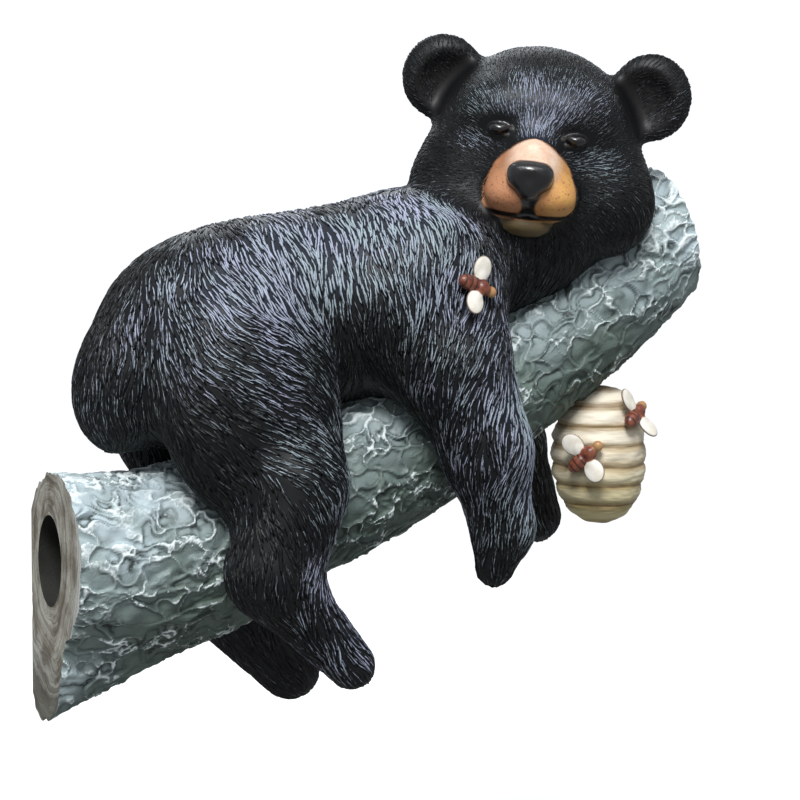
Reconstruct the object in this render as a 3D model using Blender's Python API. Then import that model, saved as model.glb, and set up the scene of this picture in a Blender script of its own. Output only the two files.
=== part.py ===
# Drowsy bear cub lying astride a branch, with a beehive and three bees.
# Every shape is worked out from the named masses below, in millimetres, and
# written to the scene in metres.  The origin lies on the sawn face of the branch,
# +X runs right along the branch, +Y runs away from the viewer and +Z is up.
import math

import bmesh
import bpy
import numpy as np
from mathutils import Matrix

MM = 0.001
SEED = 11963

# Gap kept between pieces that touch, and how far a cutting tool stands out to leave it.
GAP = 0.3
TOOL_GROWTH = 1.5 * GAP

# Triangle budgets of the solids.
BEAR_TRIANGLES = 4650
BRANCH_TRIANGLES = 2350
BEE_TRIANGLES = 260

# Relief of the coat and the bark.
LOCK_LENGTH = 34.0
LOCK_WIDTH = 8.0
LOCK_HEIGHT = 1.9
LOCK_PITCH = 12.5
BARK_PITCH = 17.0
BARK_STRETCH = 1.35
BARK_HEIGHT = 2.0
BRANCH_ROUND = 42.0

# Head: centre, the way it faces and its tilt.
HEAD_CENTRE = (276.0, -8.0, 256.0)
HEAD_YAW = 27.0
HEAD_PITCH = -2.0
HEAD_ROLL = -6.4
EYE_CENTRES = {-1: (-20.5, 15.1, 40.0), 1: (22.5, 13.5, 40.0)}

# Sawn face with its hanging recess and keyhole.
BACK_FLAT_Y = 43.0
BACK_SLOPE = 0.25
RECESS_CENTRE = (11.0, 41.0)
RECESS_HALF = (20.0, 24.5)
RECESS_DEPTH = 26.0
KEYHOLE_CENTRE = (13.0, 36.0)
KEYHOLE_RADIUS = 4.5
KEYHOLE_SLOT = (2.2, 12.0)
KEYHOLE_DEPTH = 9.0
END_CUT_POINT = (364.0, 0.0, 212.0)
END_CUT_NORMAL = (0.957, 0.0, 0.29)

# Width over which the head and the neck melt together.
NECK_SOFT = 6.0

# Hive: straw coils wound round an egg, a little fuller below its middle.
HIVE_CENTRE = (318.0, -6.0, 88.0)
HIVE_RADIUS = 27.0
HIVE_HALF_HEIGHT = 39.0
HIVE_COILS = 7
HIVE_COIL_RELIEF = 1.7
HIVE_TAPER = (1.02, 0.07)
HIVE_SWELL = 0.6
HIVE_SEGMENTS = 22
HIVE_COIL_ROWS = 4


def turned(about_x, about_y, about_z):
    """Return the rotation by three angles in degrees, about X, then Y, then Z."""
    a, b, c = np.radians([about_x, about_y, about_z])
    rx = np.array([[1, 0, 0], [0, math.cos(a), -math.sin(a)], [0, math.sin(a), math.cos(a)]])
    ry = np.array([[math.cos(b), 0, math.sin(b)], [0, 1, 0], [-math.sin(b), 0, math.cos(b)]])
    rz = np.array([[math.cos(c), -math.sin(c), 0], [math.sin(c), math.cos(c), 0], [0, 0, 1]])
    return rz @ ry @ rx


def ball(centre, radii, turn=(0, 0, 0), soft=0.0, cut=False):
    """Describe an ellipsoid mass; soft is how widely it melts into the others."""
    return {"kind": "ball", "at": np.array(centre, float), "r": np.array(radii, float),
            "turn": turned(*turn), "soft": soft, "cut": cut}


def limb(start, end, r_start, r_end, soft=0.0):
    """Describe a tapered, round-ended limb."""
    return {"kind": "limb", "a": np.array(start, float), "b": np.array(end, float),
            "ra": r_start, "rb": r_end, "soft": soft, "cut": False}


# Trunk of the body, legs and neck, from the rump at the left to the chest.
BODY = [
    ball((80, 0, 153), (56, 56, 56), (0, 20, 0)),
    ball((128, 0, 170), (70, 56, 54), (0, -12, 0), 30),
    ball((190, -2, 178), (52, 58, 54), soft=28),
    ball((33, -2, 129), (21, 32, 30), soft=20),
    ball((92, -46, 122), (48, 32, 62), (0, -18, 0), 14),
    ball((92, 46, 122), (48, 32, 62), (0, -18, 0), 14),
    limb((112, -62, 82), (98, -64, 40), 27, 24, 16),
    limb((96, -64, 36), (139, -70, -12), 20, 12, 12),
    limb((112, 60, 82), (104, 60, 34), 27, 21, 16),
    limb((98, 60, 26), (157, 62, -34), 23, 16.5, 12),
    ball((200, -44, 170), (40, 26, 52), soft=16),
    ball((216, 44, 176), (36, 26, 50), soft=16),
    limb((208, -54, 140), (221, -62, 98), 29, 23, 16),
    limb((221, -62, 98), (232, -60, 55), 22.5, 15.5, 10),
    limb((232, -60, 55), (228, -58, 34), 15, 9.8, 8),
    limb((240, 50, 150), (290, 52, 92), 25, 19, 16),
    limb((290, 52, 92), (306, 50, 48), 19, 14.5, 8),
    limb((208, 0, 189), (262, -4, 218), 46, 40, 18),
    ball((276, -10, 214), (50, 40, 34), (0, -36, 0), 14),
]


def head_masses():
    """List the masses of the head in its own frame: right, up and forward."""
    out = [ball((0, 7, -6), (56, 53, 50))]
    for side in (-1, 1):
        out.append(ball((side * 37 + (side > 0) * 2, -22, 4), (30, 31, 34), soft=18))
        out.append(ball((side * 20, 26, 27), (20, 11, 12), soft=16))
    out.append(ball((0, -38, 14), (36, 22, 34), soft=16))
    for side in (-1, 1):
        across, up, _ = EYE_CENTRES[side]
        out.append(ball((across, up, 55), (13, 6, 11.5), (0, 0, side * -6), 7, cut=True))
    return out


def muzzle_masses():
    """List the snout's masses: the bridge, the round of the muzzle and the two lips."""
    out = [limb((0, 0, 34), (0, -8, 60), 18, 12.5), ball((1, -16, 44), (24, 16.5, 23), soft=8)]
    for side in (-1, 1):
        out.append(ball((side * 12 + 1, -20.5, 53), (13, 11, 16), soft=5))
    return out


def ear_masses(side):
    """List one ear: a round shell with a cup in its front."""
    across = side * (60.5 if side > 0 else 55.5)
    up = 38.5 if side > 0 else 37.5
    tall = 24.0 if side > 0 else 23.5
    cup = ball((across - side * 5, up - 4, 3), (20, 20, 10), soft=3, cut=True)
    return [ball((across, up, -8), (22.5, tall, 9)), cup]


def eye_masses(side):
    """List one eye: the ball, the arched upper lid and the lower lid."""
    c = np.array(EYE_CENTRES[side])
    out = [ball(c, (9, 3.8, 7), soft=1.5)]
    upper = [(-10.5, -1.8, 3, 0.8), (-7, 1.8, 5, 1.1), (0, 3.5, 6.4, 1.3), (7, 1.8, 5, 1.1),
             (10.5, -1.8, 3, 0.8)]
    lower = [(-10.5, -2, 3, 0.8), (0, -3.8, 5.6, 1.1), (10.5, -2, 3, 0.8)]
    for lid in (upper, lower):
        for one, two in zip(lid[:-1], lid[1:]):
            out.append(limb(c + one[:3], c + two[:3], one[3], two[3], 1.2))
    return out


NOSE = [
    ball((-0.5, -6.8, 69), (11.8, 5.2, 8)),
    ball((-7, -10.5, 68.5), (5.8, 6.5, 7.5), soft=3),
    ball((6, -10.5, 68.5), (5.8, 6.5, 7.5), soft=3),
    ball((-0.5, -14.5, 69), (7, 8, 6.5), soft=3),
]
CHIN = [ball((0, -36.5, 46), (15, 7.5, 15))]

# Centre line of the branch with its radius at each point.
BRANCH_LINE = [(0, 3, 43, 45.5), (40, 1, 40, 46.5), (80, 0, 47, 46), (120, 0, 63, 43), (160, 0, 79, 43),
               (200, 0, 98, 41.5), (270, 0, 140, 38.5), (320, 0, 176, 37.5), (356, 0, 207, 35.5),
               (380, 0, 228, 33.5)]
BRANCH_FLARE = limb((-12, 23, -20), (84, 4, 31), 28.5, 31, 16)

# Each bee: a point near the surface under it and the way its body points.
BEES = {
    "bee_on_shoulder": {"on": "bear", "near": (212, -80, 188), "heading": (0.90, 0.0, -0.32)},
    "bee_on_hive_left": {"on": "hive", "near": (297, -30, 89), "heading": (0.84, 0.0, 0.54)},
    "bee_on_hive_right": {"on": "hive", "near": (330, -27, 111), "heading": (0.80, 0.0, 0.60)},
}
BEE_LIFT = 0.5
BEE_MASSES = [
    ball((-5.0, 0, 2.6), (5.8, 3.7, 3.4)),
    ball((2.9, 0, 2.9), (4.0, 3.6, 3.5), soft=0.8),
    ball((8.2, 0, 2.5), (2.8, 2.7, 2.6), soft=0.8),
    ball((-0.6, 8.4, 4.4), (5.1, 6.3, 1.4), (12, 0, 8), 1.0),
    ball((-0.6, -8.4, 4.4), (5.1, 6.3, 1.4), (-12, 0, -8), 1.0),
    ball((0.4, 3.8, 3.7), (2.4, 3.4, 1.4), (12, 0, 8), 1.5),
    ball((0.4, -3.8, 3.7), (2.4, 3.4, 1.4), (-12, 0, -8), 1.5),
]


def head_frame():
    """Return the head's axes as columns: right, up and forward."""
    yaw, pitch, roll = np.radians([HEAD_YAW, HEAD_PITCH, HEAD_ROLL])
    right = np.array([math.cos(yaw), -math.sin(yaw), 0.0])
    ahead = np.array([-math.sin(yaw), -math.cos(yaw), 0.0])
    up = np.array([0.0, 0.0, 1.0])
    ahead, up = (ahead * math.cos(pitch) + up * math.sin(pitch),
                 up * math.cos(pitch) - ahead * math.sin(pitch))
    right, up = right * math.cos(roll) + up * math.sin(roll), up * math.cos(roll) - right * math.sin(roll)
    return np.stack([right, up, ahead], axis=1)


HEAD_AXES = head_frame()


def into_head(points):
    """Return points measured in the head's frame."""
    return (points - np.array(HEAD_CENTRE)) @ HEAD_AXES


def distance_to(mass, points):
    """Return the signed distance from each point to one mass."""
    if mass["kind"] == "ball":
        q = (points - mass["at"]) @ mass["turn"]
        near = np.sqrt(((q / mass["r"]) ** 2).sum(-1))
        slope = np.sqrt(((q / mass["r"] ** 2) ** 2).sum(-1))
        return near * (near - 1.0) / np.maximum(slope, 1e-9)
    along = mass["b"] - mass["a"]
    length2 = along @ along
    fall = mass["ra"] - mass["rb"]
    keep2 = length2 - fall * fall
    pa = points - mass["a"]
    y = pa @ along
    z = y - length2
    x2 = ((pa * length2 - y[..., None] * along) ** 2).sum(-1)
    y2 = y * y * length2
    z2 = z * z * length2
    limit = np.sign(fall) * fall * fall * x2
    at_end = np.sqrt(x2 + z2) / length2 - mass["rb"]
    at_start = np.sqrt(x2 + y2) / length2 - mass["ra"]
    on_side = (np.sqrt(x2 * keep2 / length2) + y * fall) / length2 - mass["ra"]
    side = np.where(np.sign(y) * keep2 * y2 < limit, at_start, on_side)
    return np.where(np.sign(z) * keep2 * z2 > limit, at_end, side)


def merged(a, b, soft):
    """Join two distances, melting them together over the width soft."""
    if soft <= 0:
        return np.minimum(a, b)
    h = np.maximum(soft - np.abs(a - b), 0) / soft
    return np.minimum(a, b) - h * h * soft * 0.25


def build_up(masses, points, start=None):
    """Add or cut each mass in turn."""
    d = start
    for mass in masses:
        each = distance_to(mass, points)
        if d is None:
            d = each
        elif mass["cut"]:
            d = -merged(-d, each, mass["soft"])
        else:
            d = merged(d, each, mass["soft"])
    return d


def head_distance(points):
    """Return the distance to the head."""
    h = into_head(points)
    d = build_up(head_masses(), h)
    d = merged(d, build_up(muzzle_masses(), h), 9)
    d = merged(d, build_up(CHIN, h), 2.5)
    for side in (-1, 1):
        d = build_up(eye_masses(side), h, d)
    for side in (-1, 1):
        d = merged(d, build_up(ear_masses(side), h), 8)
    return merged(d, build_up(NOSE, h), 1.5)


def bear_distance(points):
    """Return the distance to the whole bear."""
    return merged(build_up(BODY, points), head_distance(points), NECK_SOFT)


def branch_limbs():
    """Turn the branch's centre line into short tapered lengths along a smooth curve."""
    knots = np.array(BRANCH_LINE, float)
    t = np.linspace(0, len(knots) - 1, 31)
    line = np.stack([np.interp(t, np.arange(len(knots)), knots[:, k]) for k in range(4)], axis=1)
    for _ in range(3):
        line[1:-1, :3] = (line[:-2, :3] + 2 * line[1:-1, :3] + line[2:, :3]) / 4
    first = line[0].copy()
    first[0] -= 14.0
    line = np.vstack([first, line])
    return [limb(a[:3], b[:3], a[3], b[3]) for a, b in zip(line[:-1], line[1:])], line


BRANCH_LIMBS, BRANCH_SPINE = branch_limbs()


def branch_distance(points):
    """Return the distance to the branch before its ends and back are cut."""
    return merged(build_up(BRANCH_LIMBS, points), distance_to(BRANCH_FLARE, points), BRANCH_FLARE["soft"])


def bee_distance(points):
    """Return the distance to a bee in its own frame: ahead, left and up."""
    return build_up(BEE_MASSES, points)


def slopes(field, points, step=0.35):
    """Return the outward direction of a field at each point, as unit vectors."""
    e = np.eye(3) * step
    g = np.stack([field(points + e[k]) - field(points - e[k]) for k in range(3)], axis=1)
    return g / np.maximum(np.linalg.norm(g, axis=1, keepdims=True), 1e-9)


def new_object(name, mesh):
    """Put a mesh into the scene under a name."""
    obj = bpy.data.objects.new(name, mesh)
    bpy.context.scene.collection.objects.link(obj)
    return obj


def applied(obj):
    """Replace an object's mesh by the result of its modifiers."""
    graph = bpy.context.evaluated_depsgraph_get()
    mesh = bpy.data.meshes.new_from_object(obj.evaluated_get(graph))
    obj.modifiers.clear()
    old = obj.data
    obj.data = mesh
    bpy.data.meshes.remove(old)
    mesh.name = obj.name
    return obj


def points_of(obj):
    """Return an object's vertices in millimetres."""
    co = np.empty(len(obj.data.vertices) * 3)
    obj.data.vertices.foreach_get("co", co)
    return co.reshape(-1, 3) / MM


def set_points(obj, points):
    """Write vertices back from millimetres."""
    obj.data.vertices.foreach_set("co", (points * MM).ravel())
    obj.data.update()


def rough_shape(name, parts):
    """Place a sphere or a capped cone for every mass; parts pairs masses with their frame."""
    bm = bmesh.new()
    for masses, frame in parts:
        for mass in masses:
            if mass["cut"]:
                continue
            if mass["kind"] == "ball":
                size = Matrix.Diagonal([*(mass["r"] * MM), 1.0])
                turn = Matrix(mass["turn"].tolist()).to_4x4()
                place = Matrix.Translation(mass["at"] * MM)
                bmesh.ops.create_icosphere(bm, subdivisions=3, radius=1.0, matrix=frame @ place @ turn @ size)
                continue
            run = mass["b"] - mass["a"]
            count = 2 + int(np.linalg.norm(run) / (0.4 * min(mass["ra"], mass["rb"])))
            for t in np.linspace(0, 1, count):
                r = mass["ra"] + (mass["rb"] - mass["ra"]) * t
                place = Matrix.Translation((mass["a"] + run * t) * MM)
                bmesh.ops.create_icosphere(bm, subdivisions=2, radius=r * MM, matrix=frame @ place)
    mesh = bpy.data.meshes.new(name)
    bm.to_mesh(mesh)
    bm.free()
    return new_object(name, mesh)


def skinned(obj, voxel):
    """Wrap an object in one even skin."""
    skin = obj.modifiers.new("one skin", 'REMESH')
    skin.mode = 'VOXEL'
    skin.voxel_size = voxel * MM
    return applied(obj)


def settled(obj, field, rounds=4):
    """Slide every vertex onto the surface where the field is zero."""
    p = points_of(obj)
    for _ in range(rounds):
        step = np.clip(field(p), -3.0, 3.0)
        p = p - slopes(field, p) * step[:, None]
    set_points(obj, p)
    return obj


def formed(name, parts, field, coarse, fine):
    """Make one closed skin on a field, first coarse and then fine."""
    obj = settled(skinned(rough_shape(name, parts), coarse), field, 5)
    return settled(skinned(obj, fine), field, 4)


def thinned(obj, triangles):
    """Reduce a skin to a number of triangles, keeping its shape."""
    bm = bmesh.new()
    bm.from_mesh(obj.data)
    bmesh.ops.triangulate(bm, faces=bm.faces[:])
    bm.to_mesh(obj.data)
    bm.free()
    thin = obj.modifiers.new("thin", 'DECIMATE')
    thin.decimate_type = 'COLLAPSE'
    thin.ratio = min(1.0, triangles / len(obj.data.polygons))
    thin.use_collapse_triangulate = True
    return applied(obj)


def spread(points, pitch, rng):
    """Choose points at least a pitch apart, in a random order, with a grid of cells."""
    chosen = []
    cells = {}
    for i in rng.permutation(len(points)):
        p = points[i]
        key = tuple(np.floor(p / pitch).astype(int))
        close = False
        for dx in (-1, 0, 1):
            for dy in (-1, 0, 1):
                for dz in (-1, 0, 1):
                    for j in cells.get((key[0] + dx, key[1] + dy, key[2] + dz), ()):
                        close = close or np.sum((points[j] - p) ** 2) < pitch * pitch
        if not close:
            chosen.append(i)
            cells.setdefault(key, []).append(i)
    return np.array(chosen)


def evened(obj, values, rounds):
    """Average values between neighbouring vertices, so that no step is too steep for its facets."""
    count = len(obj.data.edges)
    ends = np.empty(count * 2, int)
    obj.data.edges.foreach_get("vertices", ends)
    a, b = ends.reshape(-1, 2).T
    links = np.bincount(a, minlength=len(values)) + np.bincount(b, minlength=len(values))
    for _ in range(rounds):
        total = np.bincount(a, values[b], len(values)) + np.bincount(b, values[a], len(values))
        values = 0.5 * values + 0.5 * total / links
    return values


# The lie of the coat: at each named place the hair runs this way, and places nearby mix.
COAT = [
    ((58, -30, 190), (-0.50, -0.35, -0.80)), ((30, -30, 165), (-0.50, -0.25, -0.85)),
    ((12, -20, 125), (-0.15, -0.20, -1.00)), ((30, -40, 110), (0.10, -0.20, -1.00)),
    ((85, -45, 195), (0.30, -0.45, -0.85)), ((105, -65, 165), (0.75, -0.15, -0.65)),
    ((128, -72, 140), (0.97, -0.05, -0.25)), ((142, -72, 108), (0.85, 0.00, -0.50)),
    ((60, -68, 140), (0.35, -0.10, -0.90)), ((75, -75, 112), (0.50, -0.05, -0.85)),
    ((108, -80, 92), (0.60, 0.00, -0.80)), ((138, -80, 78), (0.35, 0.00, -0.95)),
    ((122, -82, 45), (-0.50, 0.00, -0.85)), ((88, -84, 40), (0.05, 0.00, -1.00)),
    ((112, -80, 12), (0.45, 0.00, -0.90)), ((135, -72, 5), (0.65, 0.00, -0.75)),
    ((145, -74, -14), (0.70, 0.00, -0.70)), ((115, -25, 218), (-0.05, -0.65, -0.75)),
    ((150, -35, 215), (0.00, -0.60, -0.80)), ((140, -58, 185), (0.05, -0.30, -0.95)),
    ((160, -58, 150), (0.15, -0.10, -1.00)), ((165, -50, 115), (0.10, 0.00, -1.00)),
    ((190, -40, 226), (0.00, -0.55, -0.85)), ((185, -66, 195), (-0.02, -0.30, -0.95)),
    ((205, -70, 190), (-0.35, -0.20, -0.92)), ((218, -68, 158), (-0.65, 0.00, -0.75)),
    ((192, -72, 150), (-0.30, 0.00, -0.95)), ((232, -68, 122), (-0.40, 0.00, -0.90)),
    ((240, -66, 80), (-0.45, 0.00, -0.90)), ((208, -78, 105), (-0.10, 0.00, -1.00)),
    ((218, -74, 70), (-0.20, 0.00, -1.00)), ((227, -66, 40), (-0.10, 0.00, -1.00)),
    ((235, -35, 205), (0.30, -0.20, -0.90)), ((262, -50, 190), (-0.10, 0.10, -1.00)),
    ((300, -45, 185), (0.20, 0.25, -0.95)), ((225, 0, 235), (-0.30, 0.00, -0.60)),
    ((50, 35, 190), (-0.40, 0.35, -0.80)), ((15, 25, 130), (-0.15, 0.20, -1.00)),
    ((95, 55, 190), (0.20, 0.45, -0.85)), ((110, 75, 150), (0.75, 0.10, -0.60)),
    ((70, 75, 115), (0.45, 0.05, -0.90)), ((130, 78, 95), (0.60, 0.00, -0.80)),
    ((100, 82, 45), (0.10, 0.00, -1.00)), ((125, 80, 5), (0.65, 0.00, -0.75)),
    ((150, 70, -30), (0.70, 0.00, -0.70)), ((145, 35, 222), (0.00, 0.60, -0.80)),
    ((150, 58, 185), (0.05, 0.35, -0.95)), ((165, 55, 130), (0.10, 0.00, -1.00)),
    ((205, 45, 228), (0.00, 0.55, -0.85)), ((216, 70, 190), (0.05, 0.25, -0.95)),
    ((245, 70, 150), (0.50, 0.05, -0.85)), ((285, 72, 95), (0.45, 0.00, -0.90)),
    ((305, 64, 60), (0.30, 0.00, -0.95)), ((250, 40, 215), (-0.30, 0.50, -0.80)),
    ((95, -40, 10), (0.40, 0.30, -0.90)), ((130, 40, 0), (0.50, -0.20, -0.90)),
]
COAT_PLACES, COAT_WAYS = (np.array([entry[k] for entry in COAT], float) for k in (0, 1))
PARTING = np.array((0.0, 2.0, 30.0))


def head_share(points):
    """Return 1 on the head and 0 on the body, with a soft border at the neck."""
    h = into_head(points)
    reach = np.linalg.norm(h / np.array((72, 70, 64)), axis=1)
    return np.clip((1.12 - reach) / 0.25, 0, 1) * np.clip((h[:, 1] + 62) / 14, 0, 1)


def coat_direction(points, normals):
    """Return the way the hair lies along the surface; on the head it runs out from the brow."""
    d2 = ((points[:, None, :] - COAT_PLACES[None]) ** 2).sum(-1)
    weight = 1.0 / (d2 + 40.0) ** 2
    flow = (weight @ COAT_WAYS) / weight.sum(1, keepdims=True)
    away = into_head(points) - PARTING
    away /= np.maximum(np.linalg.norm(away, axis=1, keepdims=True), 1e-6)
    share = head_share(points)[:, None]
    flow = flow * (1 - share) + (away @ HEAD_AXES.T) * share
    flow -= normals * (flow * normals).sum(1, keepdims=True)
    return flow / np.maximum(np.linalg.norm(flow, axis=1, keepdims=True), 1e-6)


def smooth_areas(points):
    """Return 0 on the smooth parts of the face and in the ears, and 1 on the coat."""
    h = into_head(points)
    keep = np.ones(len(points))
    spots = [((0, -14, 52), (31, 29, 34)), ((55.5, 34.5, 3), (20, 21, 10)), ((-50.5, 33.5, 3), (20, 21, 10))]
    spots += [(EYE_CENTRES[side], (15, 10, 16)) for side in (-1, 1)]
    for at, r in spots:
        near = np.linalg.norm((h - np.array(at, float)) / np.array(r, float), axis=1)
        keep = np.minimum(keep, np.clip((near - 0.85) / 0.3, 0, 1))
    return keep


def carve_locks(obj, field, rng):
    """Raise overlapping locks of hair that follow the lie of the coat."""
    p = points_of(obj)
    n = slopes(field, p)
    chosen = spread(p, LOCK_PITCH, rng)
    root = p[chosen]
    way = coat_direction(root, n[chosen])
    side = np.cross(n[chosen], way)
    turn = rng.normal(0, 0.16, len(chosen))[:, None]
    way, side = way * np.cos(turn) + side * np.sin(turn), side * np.cos(turn) - way * np.sin(turn)
    length = LOCK_LENGTH * rng.uniform(0.75, 1.2, len(chosen))
    width = LOCK_WIDTH * rng.uniform(0.8, 1.2, len(chosen))
    height = LOCK_HEIGHT * rng.uniform(0.7, 1.15, len(chosen))
    small = np.clip(np.linalg.norm(into_head(root), axis=1) / 90.0, 0.62, 1.0)
    length *= small
    width *= small
    rise = np.zeros(len(p))
    for i in range(len(chosen)):
        q = p - root[i]
        inside = np.flatnonzero((q * q).sum(1) < (length[i] * 0.62) ** 2)
        q = q[inside]
        u = (q @ way[i]) / length[i] + 0.5
        w = (q @ side[i]) / (width[i] * np.clip(1.15 - 0.75 * u, 0.2, 1.0))
        facing = (n[inside] @ n[chosen[i]]) > 0.25
        tip = np.clip((1.0 - u) / 0.22, 0, 1)
        shape = np.clip(u, 0, 1) ** 0.7 * np.sqrt(tip) * np.clip(1 - w * w, 0, 1)
        rise[inside] = np.maximum(rise[inside], height[i] * shape * facing)
    rise = evened(obj, (rise - 0.45 * LOCK_HEIGHT) * smooth_areas(p), 3)
    set_points(obj, p + n * rise[:, None])
    return obj


def along_branch(points):
    """Return how far along and round the branch each point lies, in millimetres."""
    line = BRANCH_SPINE[:, :3]
    seg = line[1:] - line[:-1]
    run = np.linalg.norm(seg, axis=1)
    start = np.concatenate([[0.0], np.cumsum(run)[:-1]])
    t = ((points[:, None, :] - line[None, :-1]) * seg[None]).sum(-1) / (run * run)[None]
    t = np.clip(t, 0, 1)
    foot = line[None, :-1] + seg[None] * t[..., None]
    d = np.linalg.norm(points[:, None, :] - foot, axis=2)
    best = d.argmin(1)
    rows = np.arange(len(points))
    s = start[best] + run[best] * t[rows, best]
    off = points - foot[rows, best]
    tangent = seg[best] / run[best][:, None]
    side = np.array([0.0, 1.0, 0.0])
    over = np.cross(tangent, side)
    angle = np.arctan2(off @ side, (off * over).sum(1))
    return s, angle


def carve_bark(obj, field, rng):
    """Raise crumpled plates of bark with a ridge round each."""
    p = points_of(obj)
    n = slopes(field, p)
    s, angle = along_branch(p)
    around = angle * BRANCH_ROUND
    turn = 2 * math.pi * BRANCH_ROUND
    reach = s.max()
    rows = int(reach / (BARK_PITCH * BARK_STRETCH)) + 1
    columns = int(turn / BARK_PITCH)
    seeds = []
    for i in range(rows):
        for j in range(columns):
            jog = rng.uniform(-0.42, 0.42, 2)
            seeds.append(((i + 0.5 + jog[0]) * reach / rows, (j + 0.5 * (i % 2) + jog[1]) * turn / columns))
    seeds = np.array(seeds)
    lean = rng.normal(0, 0.085, (len(seeds), 2))
    raised = rng.uniform(-0.35, 0.35, len(seeds))
    ds = (s[:, None] - seeds[None, :, 0]) / BARK_STRETCH
    da = around[:, None] - seeds[None, :, 1]
    da = da - turn * np.round(da / turn)
    d = np.sqrt(ds * ds + da * da)
    order = np.argsort(d, axis=1)[:, :2]
    rowsel = np.arange(len(p))
    edge = d[rowsel, order[:, 1]] - d[rowsel, order[:, 0]]
    own = order[:, 0]
    plate = raised[own] + lean[own, 0] * ds[rowsel, own] + lean[own, 1] * da[rowsel, own]
    ridge = np.exp(-(edge / 3.2) ** 2)
    flat = 1.0 - np.exp(-(edge / 2.6) ** 2)
    rise = BARK_HEIGHT * (0.6 * ridge + 0.75 * np.clip(plate, -0.9, 0.9) * flat - 0.25)
    rise = evened(obj, rise, 2)
    set_points(obj, p + n * rise[:, None])
    return obj


def sliced(obj, point, normal):
    """Cut an object by a plane, keep the side behind the normal and close the cut."""
    bm = bmesh.new()
    bm.from_mesh(obj.data)
    cut = bmesh.ops.bisect_plane(bm, geom=bm.verts[:] + bm.edges[:] + bm.faces[:], dist=1e-7,
                                 plane_co=[c * MM for c in point], plane_no=normal, clear_outer=True)
    rim = [e for e in cut["geom_cut"] if isinstance(e, bmesh.types.BMEdge)]
    bmesh.ops.contextual_create(bm, geom=rim)
    bmesh.ops.triangulate(bm, faces=[f for f in bm.faces if len(f.verts) > 4])
    bmesh.ops.recalc_face_normals(bm, faces=bm.faces[:])
    bm.to_mesh(obj.data)
    bm.free()
    return obj


def cut_away(obj, cutter):
    """Take one closed shape out of another."""
    cut = obj.modifiers.new("cut", 'BOOLEAN')
    cut.operation = 'DIFFERENCE'
    cut.solver = 'EXACT'
    cut.object = cutter
    applied(obj)
    return obj


def as_cutter(obj):
    """Mark an object as a tool that isn't part of the result."""
    obj.hide_render = True
    obj.display_type = 'WIRE'
    return obj


def grown(obj, name, field):
    """Return a copy of an object that stands out by the gap all round its field."""
    copy = new_object(name, obj.data.copy())
    p = points_of(copy)
    set_points(copy, p + slopes(field, p) * TOOL_GROWTH)
    return as_cutter(copy)


def upright_prism(name, outline, x0, x1):
    """Make a closed prism along X from an outline of (y, z) points."""
    bm = bmesh.new()
    ring = [bm.verts.new((x0 * MM, y * MM, z * MM)) for y, z in outline]
    face = bm.faces.new(ring)
    moved = bmesh.ops.extrude_face_region(bm, geom=[face])["geom"]
    verts = [g for g in moved if isinstance(g, bmesh.types.BMVert)]
    bmesh.ops.translate(bm, verts=verts, vec=((x1 - x0) * MM, 0, 0))
    bmesh.ops.recalc_face_normals(bm, faces=bm.faces[:])
    mesh = bpy.data.meshes.new(name)
    bm.to_mesh(mesh)
    bm.free()
    return as_cutter(new_object(name, mesh))


def oval(cy, cz, ry, rz, count):
    """Return points round an oval."""
    steps = [2 * math.pi * k / count for k in range(count)]
    return [(cy + ry * math.cos(a), cz + rz * math.sin(a)) for a in steps]


def keyhole_outline():
    """Return a keyhole: a round hole with a narrow slot above it."""
    cy, cz = KEYHOLE_CENTRE
    half, tall = KEYHOLE_SLOT
    start = math.acos(half / KEYHOLE_RADIUS)
    steps = np.linspace(math.pi - start, 2 * math.pi + start, 19)
    outline = [(cy + KEYHOLE_RADIUS * math.cos(a), cz + KEYHOLE_RADIUS * math.sin(a)) for a in steps]
    top = np.linspace(0, math.pi, 7)
    outline += [(cy + half * math.cos(a), cz + tall + half * math.sin(a)) for a in top]
    return outline


def trimmed(obj, extra):
    """Cut the sawn face, the flat of the back and the right end, each standing out by extra."""
    for point, normal in (((0, 0, 0), (-1, 0, 0)), ((0, BACK_FLAT_Y, 0), (-BACK_SLOPE, 1, 0)),
                          (END_CUT_POINT, END_CUT_NORMAL)):
        way = np.array(normal, float)
        way /= np.linalg.norm(way)
        sliced(obj, np.array(point, float) + way * extra, way.tolist())
    return obj


def make_branch(rng):
    """Make the branch: bark, three flat cuts, the hanging recess and its keyhole."""
    parts = [(BRANCH_LIMBS + [BRANCH_FLARE], Matrix())]
    branch = formed("branch", parts, branch_distance, 5.0, 2.6)
    carve_bark(branch, branch_distance, rng)
    thinned(branch, BRANCH_TRIANGLES)
    tool = grown(branch, "branch_tool", branch_distance)
    trimmed(branch, 0.0)
    trimmed(tool, TOOL_GROWTH)
    recess = upright_prism("recess_tool", oval(*RECESS_CENTRE, *RECESS_HALF, 40), -5.0, RECESS_DEPTH)
    cut_away(branch, recess)
    key = upright_prism("keyhole_tool", keyhole_outline(), RECESS_DEPTH - 2.0, RECESS_DEPTH + KEYHOLE_DEPTH)
    cut_away(branch, key)
    bpy.data.objects.remove(recess)
    bpy.data.objects.remove(key)
    return branch, tool


def make_bear(rng, branch_tool):
    """Make the bear: melted masses, carved coat, and the seat cut to the branch."""
    head = Matrix.Translation(np.array(HEAD_CENTRE) * MM) @ Matrix(HEAD_AXES.tolist()).to_4x4()
    face = head_masses() + muzzle_masses() + CHIN + NOSE
    for side in (-1, 1):
        face += ear_masses(side) + eye_masses(side)
    bear = formed("bear", [(BODY, Matrix()), (face, head)], bear_distance, 4.0, 1.9)
    carve_locks(bear, bear_distance, rng)
    thinned(bear, BEAR_TRIANGLES)
    tool = grown(bear, "bear_tool", bear_distance)
    return cut_away(bear, branch_tool), tool


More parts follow.
